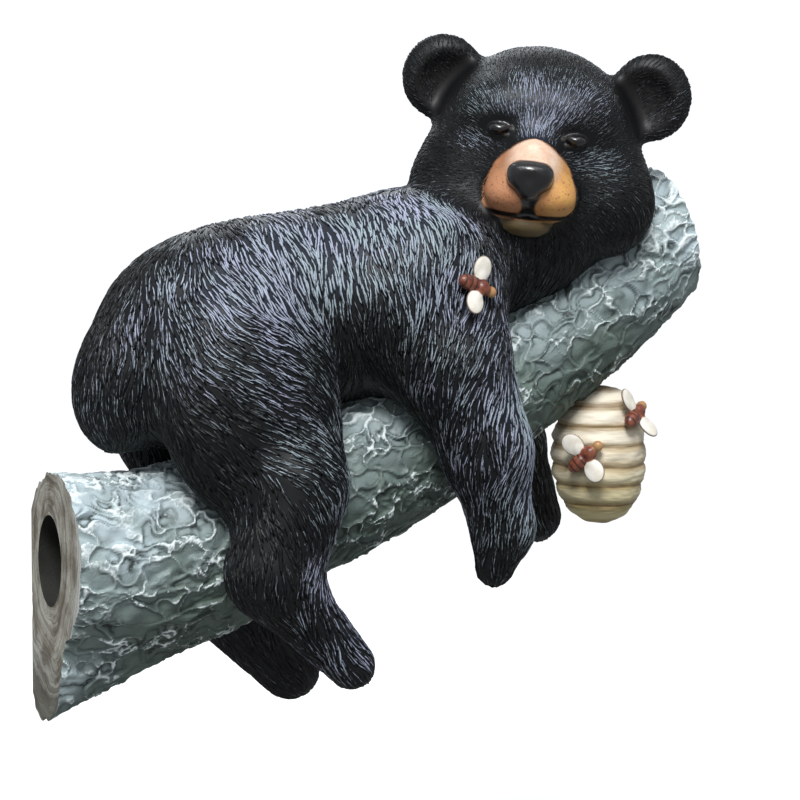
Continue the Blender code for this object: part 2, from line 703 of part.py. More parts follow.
def make_hive(branch_tool):
    """Turn the hive's coiled outline round its upright axis and cut its top to the branch."""
    cx, cy, cz = HIVE_CENTRE
    steps = HIVE_COILS * HIVE_COIL_ROWS
    profile = []
    for k in range(steps + 1):
        t = k / steps
        a = math.pi * t
        z = -math.cos(a) * HIVE_HALF_HEIGHT
        low = (1 - math.cos(a)) / 2
        swell = abs(math.sin(math.pi * HIVE_COILS * low))
        full = HIVE_RADIUS * math.sin(a) ** 0.82 * (HIVE_TAPER[0] - HIVE_TAPER[1] * low)
        r = full + HIVE_COIL_RELIEF * (swell - 0.7) * math.sin(a)
        profile.append((max(r, 0.0), z))
    bm = bmesh.new()
    line = [bm.verts.new(((cx + r) * MM, cy * MM, (cz + z) * MM)) for r, z in profile]
    for a, b in zip(line[:-1], line[1:]):
        bm.edges.new((a, b))
    bmesh.ops.spin(bm, geom=bm.verts[:] + bm.edges[:], cent=(cx * MM, cy * MM, 0), axis=(0, 0, 1),
                   angle=2 * math.pi, steps=HIVE_SEGMENTS, use_duplicate=False)
    bmesh.ops.remove_doubles(bm, verts=bm.verts[:], dist=1e-6)
    bmesh.ops.recalc_face_normals(bm, faces=bm.faces[:])
    mesh = bpy.data.meshes.new("beehive")
    bm.to_mesh(mesh)
    bm.free()
    hive = new_object("beehive", mesh)
    tool = grown(hive, "hive_tool", hive_distance)
    return cut_away(hive, branch_tool), tool


def hive_distance(points):
    """Return the distance to the hive's egg without its coils."""
    egg = ball(HIVE_CENTRE, (HIVE_RADIUS, HIVE_RADIUS, HIVE_HALF_HEIGHT))
    return distance_to(egg, points) - HIVE_SWELL


def make_bee(name, spec, carrier_tool):
    """Make one bee on a surface and cut its underside to what it sits on."""
    field = bear_distance if spec["on"] == "bear" else hive_distance
    p = np.array([spec["near"]], float)
    for _ in range(12):
        p = p - slopes(field, p) * field(p)[:, None]
    up = slopes(field, p)[0]
    ahead = np.array(spec["heading"], float)
    ahead = ahead - up * (ahead @ up)
    ahead /= np.linalg.norm(ahead)
    left = np.cross(up, ahead)
    frame = np.stack([ahead, left, up], axis=1)
    bee = formed(name, [(BEE_MASSES, Matrix())], bee_distance, 1.1, 0.55)
    thinned(bee, BEE_TRIANGLES)
    set_points(bee, points_of(bee) @ frame.T + p[0] + up * BEE_LIFT)
    return cut_away(bee, carrier_tool)


def painted(obj, name, colour, roughness):
    """Give a piece its paint and shade it smooth."""
    mat = bpy.data.materials.new(name)
    mat.use_nodes = True
    shader = mat.node_tree.nodes["Principled BSDF"]
    shader.inputs["Base Color"].default_value = (*colour, 1.0)
    shader.inputs["Roughness"].default_value = roughness
    obj.data.materials.clear()
    obj.data.materials.append(mat)
    obj.data.polygons.foreach_set("use_smooth", [True] * len(obj.data.polygons))
    obj.data.update()


def cleaned(obj):
    """Weld stray doubles, split long faces into triangles and turn every normal outward."""
    bm = bmesh.new()
    bm.from_mesh(obj.data)
    bmesh.ops.remove_doubles(bm, verts=bm.verts[:], dist=2e-6)
    bmesh.ops.dissolve_degenerate(bm, edges=bm.edges[:], dist=2e-6)
    bmesh.ops.triangulate(bm, faces=bm.faces[:])
    bmesh.ops.recalc_face_normals(bm, faces=bm.faces[:])
    bm.to_mesh(obj.data)
    bm.free()
    return obj


def main():
    for obj in list(bpy.data.objects):
        bpy.data.objects.remove(obj)
    rng = np.random.default_rng(SEED)
    branch, branch_tool = make_branch(rng)
    bear, bear_tool = make_bear(rng, branch_tool)
    hive, hive_tool = make_hive(branch_tool)
    for piece in (branch, bear, hive):
        cleaned(piece)
    bees = {}
    for name, spec in BEES.items():
        tool = bear_tool if spec["on"] == "bear" else hive_tool
        bees[name] = cleaned(make_bee(name, spec, tool))
    for tool in (branch_tool, bear_tool, hive_tool):
        bpy.data.objects.remove(tool)
    painted(bear, "black_fur_paint", (0.018, 0.020, 0.026), 0.38)
    painted(branch, "bark_paint", (0.23, 0.29, 0.28), 0.75)
    painted(hive, "straw_paint", (0.62, 0.50, 0.30), 0.6)
    for bee in bees.values():
        painted(bee, "bee_paint", (0.42, 0.16, 0.09), 0.4)
    for obj in bpy.data.objects:
        print(obj.name, len(obj.data.polygons), "triangles")


main()
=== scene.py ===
# %% [markdown]
# # Bear cub on a branch
#
# The real object is a garden ornament: one hollow resin casting, carved in the model for
# its mould and then painted.  A black bear cub lies astride a crumpled grey-green branch,
# a straw hive hangs below the branch and three bees sit on the cub and the hive.  The
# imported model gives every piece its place.  The steps below give each one its finish.

# %% Load the frame
import math

import bmesh
import bpy
import numpy as np
from mathutils import Matrix, Vector
from mathutils.bvhtree import BVHTree
from mathutils.kdtree import KDTree


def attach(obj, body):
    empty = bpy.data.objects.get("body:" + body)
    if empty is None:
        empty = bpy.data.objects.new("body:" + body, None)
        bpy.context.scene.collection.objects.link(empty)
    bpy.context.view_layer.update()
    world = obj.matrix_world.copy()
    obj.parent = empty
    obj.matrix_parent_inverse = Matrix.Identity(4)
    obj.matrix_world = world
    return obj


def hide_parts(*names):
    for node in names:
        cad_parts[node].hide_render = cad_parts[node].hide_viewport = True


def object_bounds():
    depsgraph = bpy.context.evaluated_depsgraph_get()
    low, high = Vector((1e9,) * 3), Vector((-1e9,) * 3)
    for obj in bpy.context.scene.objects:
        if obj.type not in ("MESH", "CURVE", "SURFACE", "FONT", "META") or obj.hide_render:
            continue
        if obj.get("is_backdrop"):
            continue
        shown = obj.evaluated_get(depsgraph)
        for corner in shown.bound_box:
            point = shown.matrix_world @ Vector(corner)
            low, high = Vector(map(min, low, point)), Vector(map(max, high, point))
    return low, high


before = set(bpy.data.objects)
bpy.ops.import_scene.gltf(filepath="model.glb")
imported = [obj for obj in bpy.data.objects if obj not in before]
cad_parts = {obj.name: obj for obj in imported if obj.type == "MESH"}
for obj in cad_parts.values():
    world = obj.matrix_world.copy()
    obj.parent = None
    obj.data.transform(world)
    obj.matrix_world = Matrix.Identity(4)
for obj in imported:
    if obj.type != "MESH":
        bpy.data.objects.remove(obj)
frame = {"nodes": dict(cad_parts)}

MM = 0.001
CAD_BOX = [list(corner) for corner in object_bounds()]
SCENE = bpy.context.scene
rng = np.random.default_rng(11963)
print("solids:", ", ".join(frame["nodes"]))
print("box in mm:", [[round(v / MM, 1) for v in corner] for corner in CAD_BOX])

# %% [markdown]
# ## Camera
#
# The photograph looks at the near side from a little to the left of square, and from just
# above the branch.  A long lens from 1.7 m gives the same flat perspective.  The camera
# could be placed by its angles, but placing it by a target point and two angles keeps the
# numbers readable.

# %% Place the camera
TARGET = Vector((198, 0, 121.5)) * MM
CAMERA_TURN = math.radians(24)
CAMERA_RISE = math.radians(4)
CAMERA_REACH = 1.7
FRAME_WIDTH = 0.44

toward_camera = Vector((-math.sin(CAMERA_TURN) * math.cos(CAMERA_RISE),
                        -math.cos(CAMERA_TURN) * math.cos(CAMERA_RISE), math.sin(CAMERA_RISE)))
camera_data = bpy.data.cameras.new("camera")
camera_data.sensor_width = 36.0
camera_data.lens = 36.0 * CAMERA_REACH / FRAME_WIDTH
camera = bpy.data.objects.new("camera", camera_data)
camera.location = TARGET + toward_camera * CAMERA_REACH
camera.rotation_euler = toward_camera.to_track_quat('Z', 'Y').to_euler()
SCENE.collection.objects.link(camera)
SCENE.camera = camera
print("camera at", [round(v, 3) for v in camera.location], "lens", round(camera_data.lens, 1))

# %% [markdown]
# ## Light and floor
#
# Carving in black paint shows only when light rakes over it, so the key is one large soft
# lamp high on the left, turned down everywhere else: the room gives little, a strip
# above draws the gloss along the top edges and a cool panel lifts the back.  The floor is
# plain and pale, well below the feet, because the ornament hangs.  Room and floor look
# pale to the camera but light the cub only faintly: each has two values, the first for
# the camera and the second for the light that bounces.

# %% Set the lights and the floor
ROOM_STRENGTH = (1.12, 0.44)
FLOOR_SHADE = (0.92, 0.22)
FLOOR_DROP = 0.14


def lit_from(name, kind, place, energy, tint):
    """Add a light that faces the middle of the object from a place."""
    data = bpy.data.lights.new(name, kind)
    data.energy = energy
    data.color = tint
    light = bpy.data.objects.new(name, data)
    light.location = place
    light.rotation_euler = (Vector(place) - TARGET).to_track_quat('Z', 'Y').to_euler()
    SCENE.collection.objects.link(light)
    return data


def new_object(name, bm):
    """Turn a bmesh into an object of the scene."""
    mesh = bpy.data.meshes.new(name)
    bm.to_mesh(mesh)
    bm.free()
    obj = bpy.data.objects.new(name, mesh)
    SCENE.collection.objects.link(obj)
    return obj


def for_camera(tree, seen, unseen):
    """Return a value that the camera sees and another that the light rays meet."""
    ray = tree.nodes.new("ShaderNodeLightPath").outputs["Is Camera Ray"]
    step = tree.nodes.new("ShaderNodeMath")
    step.operation = 'MULTIPLY_ADD'
    step.inputs[1].default_value = seen - unseen
    step.inputs[2].default_value = unseen
    tree.links.new(ray, step.inputs[0])
    return step.outputs[0]


key = lit_from("soft key", 'SUN', TARGET + Vector((-0.32, -0.62, 0.80)), 3.1, (1.0, 1.0, 1.0))
key.angle = math.radians(20)
strip = lit_from("gloss strip", 'AREA', (0.05, -0.42, 1.25), 3.0, (0.92, 0.95, 1.0))
strip.shape, strip.size, strip.size_y = 'RECTANGLE', 1.3, 0.22
back = lit_from("back panel", 'AREA', (0.5, 1.1, 1.0), 8.0, (0.9, 0.95, 1.0))
back.size = 0.9

world = bpy.data.worlds.new("studio")
world.use_nodes = True
room = world.node_tree.nodes["Background"]
room.inputs["Color"].default_value = (0.93, 0.96, 1.0, 1.0)
strength = for_camera(world.node_tree, *ROOM_STRENGTH)
world.node_tree.links.new(strength, room.inputs["Strength"])
SCENE.world = world
SCENE.view_settings.view_transform = 'Standard'

bm = bmesh.new()
bmesh.ops.create_circle(bm, cap_ends=True, segments=96, radius=30.0,
                        matrix=Matrix.Translation((0.2, 0, CAD_BOX[0][2] - FLOOR_DROP)))
floor = new_object("floor", bm)
floor_paint = bpy.data.materials.new("pale floor")
floor_paint.use_nodes = True
shader = floor_paint.node_tree.nodes["Principled BSDF"]
shader.inputs["Roughness"].default_value = 0.9
shade = for_camera(floor_paint.node_tree, *FLOOR_SHADE)
floor_paint.node_tree.links.new(shade, shader.inputs["Base Color"])
floor.data.materials.append(floor_paint)
floor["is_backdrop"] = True
print("key, strip, back panel and a floor at", round(CAD_BOX[0][2] - FLOOR_DROP, 3))

# %% [markdown]
# ## Modelling clay: masses that melt together
#
# The cub has no flat side and no edge, so it is built as a sculptor would build it: balls
# for the trunk, thighs and skull, tapered limbs for the legs, all melted together.  Each
# mass knows the distance from any point to its skin.  Melting two masses is a smooth
# minimum of their distances.  Blender makes the skin from real spheres with a voxel
# remesh, and every vertex then slides to where the melted distance is zero.

# %% Describe the masses
def turned(about_x, about_y, about_z):
    """Return the rotation by three angles in degrees, about X, then Y, then Z."""
    turns = [Matrix.Rotation(math.radians(a), 3, axis)
             for a, axis in ((about_x, 'X'), (about_y, 'Y'), (about_z, 'Z'))]
    return np.array(turns[2] @ turns[1] @ turns[0])


def ball(centre, radii, turn=(0, 0, 0), soft=0.0, cut=False):
    """Describe an ellipsoid mass; soft is how widely it melts into the others."""
    return {"kind": "ball", "at": np.array(centre, float), "r": np.array(radii, float),
            "turn": turned(*turn), "soft": soft, "cut": cut}


def limb(start, end, r_start, r_end, soft=0.0):
    """Describe a tapered, round-ended limb."""
    return {"kind": "limb", "a": np.array(start, float), "b": np.array(end, float),
            "ra": r_start, "rb": r_end, "soft": soft, "cut": False}


def distance_to(mass, points):
    """Return the signed distance from each point to one mass, in millimetres."""
    if mass["kind"] == "ball":
        q = (points - mass["at"]) @ mass["turn"]
        near = np.sqrt(((q / mass["r"]) ** 2).sum(-1))
        slope = np.sqrt(((q / mass["r"] ** 2) ** 2).sum(-1))
        return near * (near - 1.0) / np.maximum(slope, 1e-9)
    along = mass["b"] - mass["a"]
    length2 = along @ along
    fall = mass["ra"] - mass["rb"]
    keep2 = length2 - fall * fall
    pa = points - mass["a"]
    y = pa @ along
    z = y - length2
    x2 = ((pa * length2 - y[..., None] * along) ** 2).sum(-1)
    y2 = y * y * length2
    z2 = z * z * length2
    limit = np.sign(fall) * fall * fall * x2
    at_end = np.sqrt(x2 + z2) / length2 - mass["rb"]
    at_start = np.sqrt(x2 + y2) / length2 - mass["ra"]
    on_side = (np.sqrt(x2 * keep2 / length2) + y * fall) / length2 - mass["ra"]
    side = np.where(np.sign(y) * keep2 * y2 < limit, at_start, on_side)
    return np.where(np.sign(z) * keep2 * z2 > limit, at_end, side)


def merged(a, b, soft):
    """Join two distances, melting them together over the width soft."""
    if soft <= 0:
        return np.minimum(a, b)
    h = np.maximum(soft - np.abs(a - b), 0) / soft
    return np.minimum(a, b) - h * h * soft * 0.25


def build_up(masses, points, start=None):
    """Add or cut each mass in turn."""
    d = start
    for mass in masses:
        each = distance_to(mass, points)
        if d is None:
            d = each
        elif mass["cut"]:
            d = -merged(-d, each, mass["soft"])
        else:
            d = merged(d, each, mass["soft"])
    return d


def unit(ways):
    """Scale every row to the length one."""
    return ways / np.maximum(np.linalg.norm(ways, axis=1, keepdims=True), 1e-9)


def slopes(field, points, step=0.3):
    """Return the outward direction of a distance field at each point."""
    e = np.eye(3) * step
    return unit(np.stack([field(points + e[k]) - field(points - e[k]) for k in range(3)], axis=1))


print("masses, limbs and melting are ready")

# %% [markdown]
# ## Skins
#
# A skin starts as overlapping spheres from `create_icosphere`.  The Remesh modifier wraps
# them in one even, closed sheet, which sliding alone could not make.  These helpers are
# shared by the cub, the branch and the bees.

# %% Make, wrap and slide a skin
def applied(obj):
    """Replace an object's mesh by the result of its modifiers."""
    graph = bpy.context.evaluated_depsgraph_get()
    mesh = bpy.data.meshes.new_from_object(obj.evaluated_get(graph))
    obj.modifiers.clear()
    old = obj.data
    obj.data = mesh
    bpy.data.meshes.remove(old)
    mesh.name = obj.name
    return obj


def points_of(obj):
    """Return an object's vertices in millimetres."""
    co = np.empty(len(obj.data.vertices) * 3)
    obj.data.vertices.foreach_get("co", co)
    return co.reshape(-1, 3) / MM


def set_points(obj, points):
    """Write vertices back from millimetres."""
    obj.data.vertices.foreach_set("co", (points * MM).ravel())
    obj.data.update()


def rough_shape(name, parts):
    """Place a sphere or a row of spheres for every mass; parts pairs masses with a frame."""
    bm = bmesh.new()
    for masses, place in parts:
        for mass in (m for m in masses if not m["cut"]):
            if mass["kind"] == "ball":
                turn = Matrix(mass["turn"].tolist()).to_4x4()
                size = Matrix.Diagonal([*(mass["r"] * MM), 1.0])
                at = Matrix.Translation(mass["at"] * MM)
                matrix = place @ at @ turn @ size
                bmesh.ops.create_icosphere(bm, subdivisions=3, radius=1.0, matrix=matrix)
                continue
            run = mass["b"] - mass["a"]
            count = 2 + int(np.linalg.norm(run) / (0.4 * min(mass["ra"], mass["rb"])))
            for t in np.linspace(0, 1, count):
                r = mass["ra"] + (mass["rb"] - mass["ra"]) * t
                at = Matrix.Translation((mass["a"] + run * t) * MM)
                bmesh.ops.create_icosphere(bm, subdivisions=2, radius=r * MM, matrix=place @ at)
    return new_object(name, bm)


def skinned(obj, voxel):
    """Wrap an object in one even skin."""
    skin = obj.modifiers.new("one skin", 'REMESH')
    skin.mode = 'VOXEL'
    skin.voxel_size = voxel * MM
    return applied(obj)


def settled(obj, field, rounds=3):
    """Slide every vertex onto the surface where the field is zero."""
    p = points_of(obj)
    for _ in range(rounds):
        step = np.clip(field(p), -3.0, 3.0)
        p = p - slopes(field, p) * step[:, None]
    set_points(obj, p)
    return obj


def cut_away(obj, cutter):
    """Take one closed shape out of another."""
    cut = obj.modifiers.new("cut", 'BOOLEAN')
    cut.operation = 'DIFFERENCE'
    cut.solver = 'EXACT'
    cut.object = cutter
    return applied(obj)


def refined(obj, chosen):
    """Split the chosen faces in four and tidy the faces along their border."""
    bm = bmesh.new()
    bm.from_mesh(obj.data)
    bm.faces.ensure_lookup_table()
    edges = {e for i in np.flatnonzero(chosen) for e in bm.faces[i].edges}
    bmesh.ops.subdivide_edges(bm, edges=list(edges), cuts=1, use_grid_fill=True)
    bmesh.ops.triangulate(bm, faces=[f for f in bm.faces if len(f.verts) > 4])
    bm.to_mesh(obj.data)
    bm.free()
    return obj


def of_faces(obj, what):
    """Return a vector for every face: its center or its normal."""
    values = np.empty(len(obj.data.polygons) * 3)
    obj.data.polygons.foreach_get(what, values)
    return values.reshape(-1, 3)


def face_middles(obj):
    """Return the middle of every face in millimetres."""
    return of_faces(obj, "center") / MM


def triangles(obj):
    """Count an object's faces as triangles."""
    return sum(len(f.vertices) - 2 for f in obj.data.polygons)


def evened(obj, values, rounds):
    """Average values between neighbouring vertices."""
    ends = np.empty(len(obj.data.edges) * 2, int)
    obj.data.edges.foreach_get("vertices", ends)
    a, b = ends.reshape(-1, 2).T
    size = len(values)
    links = np.bincount(a, minlength=size) + np.bincount(b, minlength=size)
    for _ in range(rounds):
        total = np.bincount(a, values[b], size) + np.bincount(b, values[a], size)
        values = 0.5 * values + 0.5 * total / links
    return values


def keep_value(obj, name, values):
    """Store one number per vertex for the paint to read."""
    layer = obj.data.attributes.new(name, 'FLOAT', 'POINT')
    layer.data.foreach_set("value", np.asarray(values, np.float32))


def shade_smooth(obj):
    """Shade every face of an object smooth."""
    obj.data.polygons.foreach_set("use_smooth", [True] * len(obj.data.polygons))
    obj.data.update()


def search_tree(points):
    """Return a tree that finds the nearest of the points."""
    tree = KDTree(len(points))
    for i, point in enumerate(points):
        tree.insert(point, i)
    tree.balance()
    return tree


def spread(points, pitch):
    """Choose points at least a pitch apart, in a random order."""
    chosen = []
    cells = {}
    keys = np.floor(points / pitch).astype(int)
    around = [(i, j, k) for i in (-1, 0, 1) for j in (-1, 0, 1) for k in (-1, 0, 1)]
    for i in rng.permutation(len(points)):
        x, y, z = keys[i]
        p = points[i]
        close = False
        for dx, dy, dz in around:
            for q in cells.get((x + dx, y + dy, z + dz), ()):
                off = q - p
                if off @ off < pitch * pitch:
                    close = True
                    break
            if close:
                break
        if not close:
            chosen.append(i)
            cells.setdefault((x, y, z), []).append(p)
    return np.array(chosen)


print("skin helpers are ready")

# %% [markdown]
# ## The branch's form
#
# The branch tapers from a broad sawn foot to a round end and bends upward to the right.
# It is a chain of tapered limbs along a smoothed centre line, with a low flare behind the
# foot.  It comes before the cub, because the cub's seat follows it.

# %% Describe the branch
BRANCH_LINE = [(0, 3, 43, 45.5), (40, 1, 40, 46.5), (80, 0, 47, 46), (120, 0, 63, 43),
               (160, 0, 79, 43), (200, 0, 98, 41.5), (270, 0, 140, 38.5), (320, 0, 176, 37.5),
               (356, 0, 207, 35.5), (380, 0, 228, 33.5)]
BRANCH_FLARE = limb((-12, 23, -20), (84, 4, 31), 28.5, 31, 16)
BACK_FLAT = ((0, 43.0, 0), (-0.25, 1, 0))
SAWN_FACE = ((0, 0, 0), (-1, 0, 0))
END_CUT = ((364.0, 0.0, 212.0), (0.957, 0.0, 0.29))
RECESS_CENTRE = (11.0, 41.0)
RECESS_HALF = (20.0, 24.5)
RECESS_DEPTH = 26.0


def branch_limbs():
    """Turn the centre line into short tapered lengths along a smooth curve."""
    knots = np.array(BRANCH_LINE, float)
    t = np.linspace(0, len(knots) - 1, 31)
    line = np.stack([np.interp(t, np.arange(len(knots)), knots[:, k]) for k in range(4)], axis=1)
    for _ in range(3):
        line[1:-1, :3] = (line[:-2, :3] + 2 * line[1:-1, :3] + line[2:, :3]) / 4
    first = line[0].copy()
    first[0] -= 14.0
    line = np.vstack([first, line])
    return [limb(a[:3], b[:3], a[3], b[3]) for a, b in zip(line[:-1], line[1:])], line


BRANCH_LIMBS, BRANCH_SPINE = branch_limbs()


def branch_distance(points):
    """Return the distance to the branch before its ends and back are cut."""
    return build_up([BRANCH_FLARE], points, build_up(BRANCH_LIMBS, points))


print("branch of", len(BRANCH_LIMBS), "lengths")

# %% [markdown]
# ## The cub's form
#
# The trunk sags along the branch, the legs hang on both sides and the chin rests where
# the branch rises.  The head has its own frame of right, up and forward, so the face can
# be laid out square before it is turned and tilted.  The eyes are almost shut: each is a
# shallow ball between an arched upper lid and a straighter lower one.

# %% Describe the cub
BODY = [
    ball((80, 0, 153), (56, 56, 56), (0, 20, 0)),
    ball((128, 0, 170), (70, 56, 54), (0, -12, 0), 30),
    ball((190, -2, 178), (52, 58, 54), soft=28),
    ball((33, -2, 129), (21, 32, 30), soft=20),
    ball((92, -46, 122), (48, 32, 62), (0, -18, 0), 14),
    ball((92, 46, 122), (48, 32, 62), (0, -18, 0), 14),
    limb((112, -62, 82), (98, -64, 40), 27, 24, 16),
    limb((96, -64, 36), (139, -70, -12), 20, 12, 12),
    limb((112, 60, 82), (104, 60, 34), 27, 21, 16),
    limb((98, 60, 26), (157, 62, -34), 23, 16.5, 12),
    ball((200, -44, 170), (40, 26, 52), soft=16),
    ball((216, 44, 176), (36, 26, 50), soft=16),
    limb((208, -54, 140), (221, -62, 98), 29, 23, 16),
    limb((221, -62, 98), (232, -60, 55), 22.5, 15.5, 10),
    limb((232, -60, 55), (228, -58, 34), 15, 9.8, 8),
    limb((240, 50, 150), (290, 52, 92), 25, 19, 16),
    limb((290, 52, 92), (306, 50, 48), 19, 14.5, 8),
    limb((208, 0, 189), (262, -4, 218), 46, 40, 18),
    ball((276, -10, 214), (50, 40, 34), (0, -36, 0), 14),
]
HEAD_CENTRE = np.array((276.0, -8.0, 256.0))
HEAD_YAW, HEAD_PITCH, HEAD_ROLL = np.radians([27.0, -2.0, -6.4])
EYE_CENTRES = {-1: (-20.0, 13.4, 40.4), 1: (21.5, 11.2, 40.6)}


def head_frame():
    """Return the head's axes as columns: right, up and forward."""
    right = np.array([math.cos(HEAD_YAW), -math.sin(HEAD_YAW), 0.0])
    ahead = np.array([-math.sin(HEAD_YAW), -math.cos(HEAD_YAW), 0.0])
    up = np.array([0.0, 0.0, 1.0])
    c, s = math.cos(HEAD_PITCH), math.sin(HEAD_PITCH)
    ahead, up = ahead * c + up * s, up * c - ahead * s
    c, s = math.cos(HEAD_ROLL), math.sin(HEAD_ROLL)
    right, up = right * c + up * s, up * c - right * s
    return np.stack([right, up, ahead], axis=1)


HEAD_AXES = head_frame()


def into_head(points):
    """Return points measured in the head's frame: right, up and forward."""
    return (points - HEAD_CENTRE) @ HEAD_AXES


def skull_masses():
    """List the skull, cheeks, brows and jaw, with a shallow socket for each eye."""
    out = [ball((0, 7, -6), (56, 53, 50))]
    for side in (-1, 1):
        out.append(ball((side * 37 + (side > 0) * 2, -22, 4), (30, 31, 34), soft=18))
        out.append(ball((side * 20, 26, 27), (20, 11, 12), soft=16))
    out.append(ball((0, -38, 14), (36, 22, 34), soft=16))
    for side in (-1, 1):
        across, up, _ = EYE_CENTRES[side]
        out.append(ball((across, up, 55), (13, 6, 11.5), (0, 0, side * -6), 7, cut=True))
    return out


def muzzle_masses():
    """List the snout's masses: the bridge, the round of the muzzle and the two lips."""
    out = [limb((0, 0, 34), (0, -8, 60), 18, 12.5), ball((1, -16, 44), (24, 16.5, 23), soft=8)]
    for side in (-1, 1):
        out.append(ball((side * 12 + 1, -20.5, 53), (13, 11, 16), soft=5))
    return out


def ear_masses(side):
    """List one ear: a round shell with a cup in its front."""
    across = side * (60.5 if side > 0 else 55.5)
    up = 38.5 if side > 0 else 37.5
    tall = 24.0 if side > 0 else 23.5
    cup = ball((across - side * 5, up - 4, 3), (20, 20, 10), soft=3, cut=True)
    return [ball((across, up, -8), (22.5, tall, 9)), cup]


def eye_ball(side):
    """Return the mass of one eyeball."""
    return ball(EYE_CENTRES[side], (6.4, 3.4, 6.4), soft=1.0)


def lid_masses(side):
    """List one eye's lids as short limbs along an arch and along a shallow sag."""
    c = np.array(EYE_CENTRES[side])
    left, right = (-8.2, -2.2, 1.6, 0.5), (8.2, -2.2, 1.6, 0.5)
    upper = [left, (-5.4, 2.0, 4.9, 1.0), (0, 4.1, 6.2, 1.2), (5.4, 2.0, 4.9, 1.0), right]
    out = []
    for lid in (upper, [left, (0, -3.9, 5.0, 0.9), right]):
        for one, two in zip(lid[:-1], lid[1:]):
            out.append(limb(c + one[:3], c + two[:3], one[3], two[3], 1.2))
    return out


NOSE = [
    ball((-0.5, -6.8, 69), (11.8, 5.2, 8)),
    ball((-7, -10.5, 68.5), (5.8, 6.5, 7.5), soft=3),
    ball((6, -10.5, 68.5), (5.8, 6.5, 7.5), soft=3),
    ball((-0.5, -14.5, 69), (7, 8, 6.5), soft=3),
]
CHIN = [ball((0, -36.5, 46), (15, 7.5, 15))]


def head_distance(points):
    """Return the distance to the head."""
    h = into_head(points)
    d = build_up(skull_masses(), h)
    d = merged(d, build_up(muzzle_masses(), h), 9)
    d = merged(d, build_up(CHIN, h), 2.5)
    for side in (-1, 1):
        d = build_up([eye_ball(side)] + lid_masses(side), h, d)
    for side in (-1, 1):
        d = merged(d, build_up(ear_masses(side), h), 8)
    return merged(d, build_up(NOSE, h), 1.5)


def bear_distance(points):
    """Return the distance to the whole cub."""
    near_head = np.linalg.norm(points - HEAD_CENTRE, axis=1) < 125
    d = build_up(BODY, points)
    if near_head.any():
        d[near_head] = merged(d[near_head], head_distance(points[near_head]), 6)
    return d


SEAT_GAP = 0.3


def seated_distance(points):
    """Return the distance to the cub with its seat hollowed to the branch."""
    return np.maximum(bear_distance(points), SEAT_GAP - branch_distance(points))


print("cub of", len(BODY), "body masses")

# %% [markdown]
# ## The cub's skin
#
# The skin is wrapped coarsely, seated on the branch and wrapped again finely.  The fur
# will be laid over it, so small faces are needed only where the skin stays bare: the
# front of the head is split once more, and the muzzle and eyes twice.

# %% Wrap the cub
COARSE_VOXEL = 4.0
FINE_VOXEL = 2.45
FACE_FINE_SPAN = (34.0, 46.0, 20.0)


def wrap_bear():
    """Make the cub's closed skin, finer where the carving shows."""
    place = Matrix.Translation(HEAD_CENTRE * MM) @ Matrix(HEAD_AXES.tolist()).to_4x4()
    face = skull_masses() + muzzle_masses() + CHIN + NOSE
    for side in (-1, 1):
        face += ear_masses(side) + [eye_ball(side)]
    bear = rough_shape("bear_coat", [(BODY, Matrix()), (face, place)])
    settled(skinned(bear, COARSE_VOXEL), bear_distance, 4)
    seat = rough_shape("seat_tool", [(BRANCH_LIMBS + [BRANCH_FLARE], Matrix())])
    settled(skinned(seat, COARSE_VOXEL), lambda p: branch_distance(p) - SEAT_GAP, 3)
    cut_away(bear, seat)
    bpy.data.objects.remove(seat)
    settled(skinned(bear, FINE_VOXEL), seated_distance, 3)
    h = into_head(face_middles(bear))
    refined(bear, (np.abs(h[:, 0]) < 80) & (np.abs(h[:, 1]) < 66) & (h[:, 2] > -2))
    settled(bear, seated_distance, 2)
    h = into_head(face_middles(bear))
    wide, low, high = FACE_FINE_SPAN
    refined(bear, (np.abs(h[:, 0]) < wide) & (h[:, 1] > -low) & (h[:, 1] < high) & (h[:, 2] > 26))
    return settled(bear, seated_distance, 2)


bear = wrap_bear()
print("cub skin of", len(bear.data.vertices), "points")
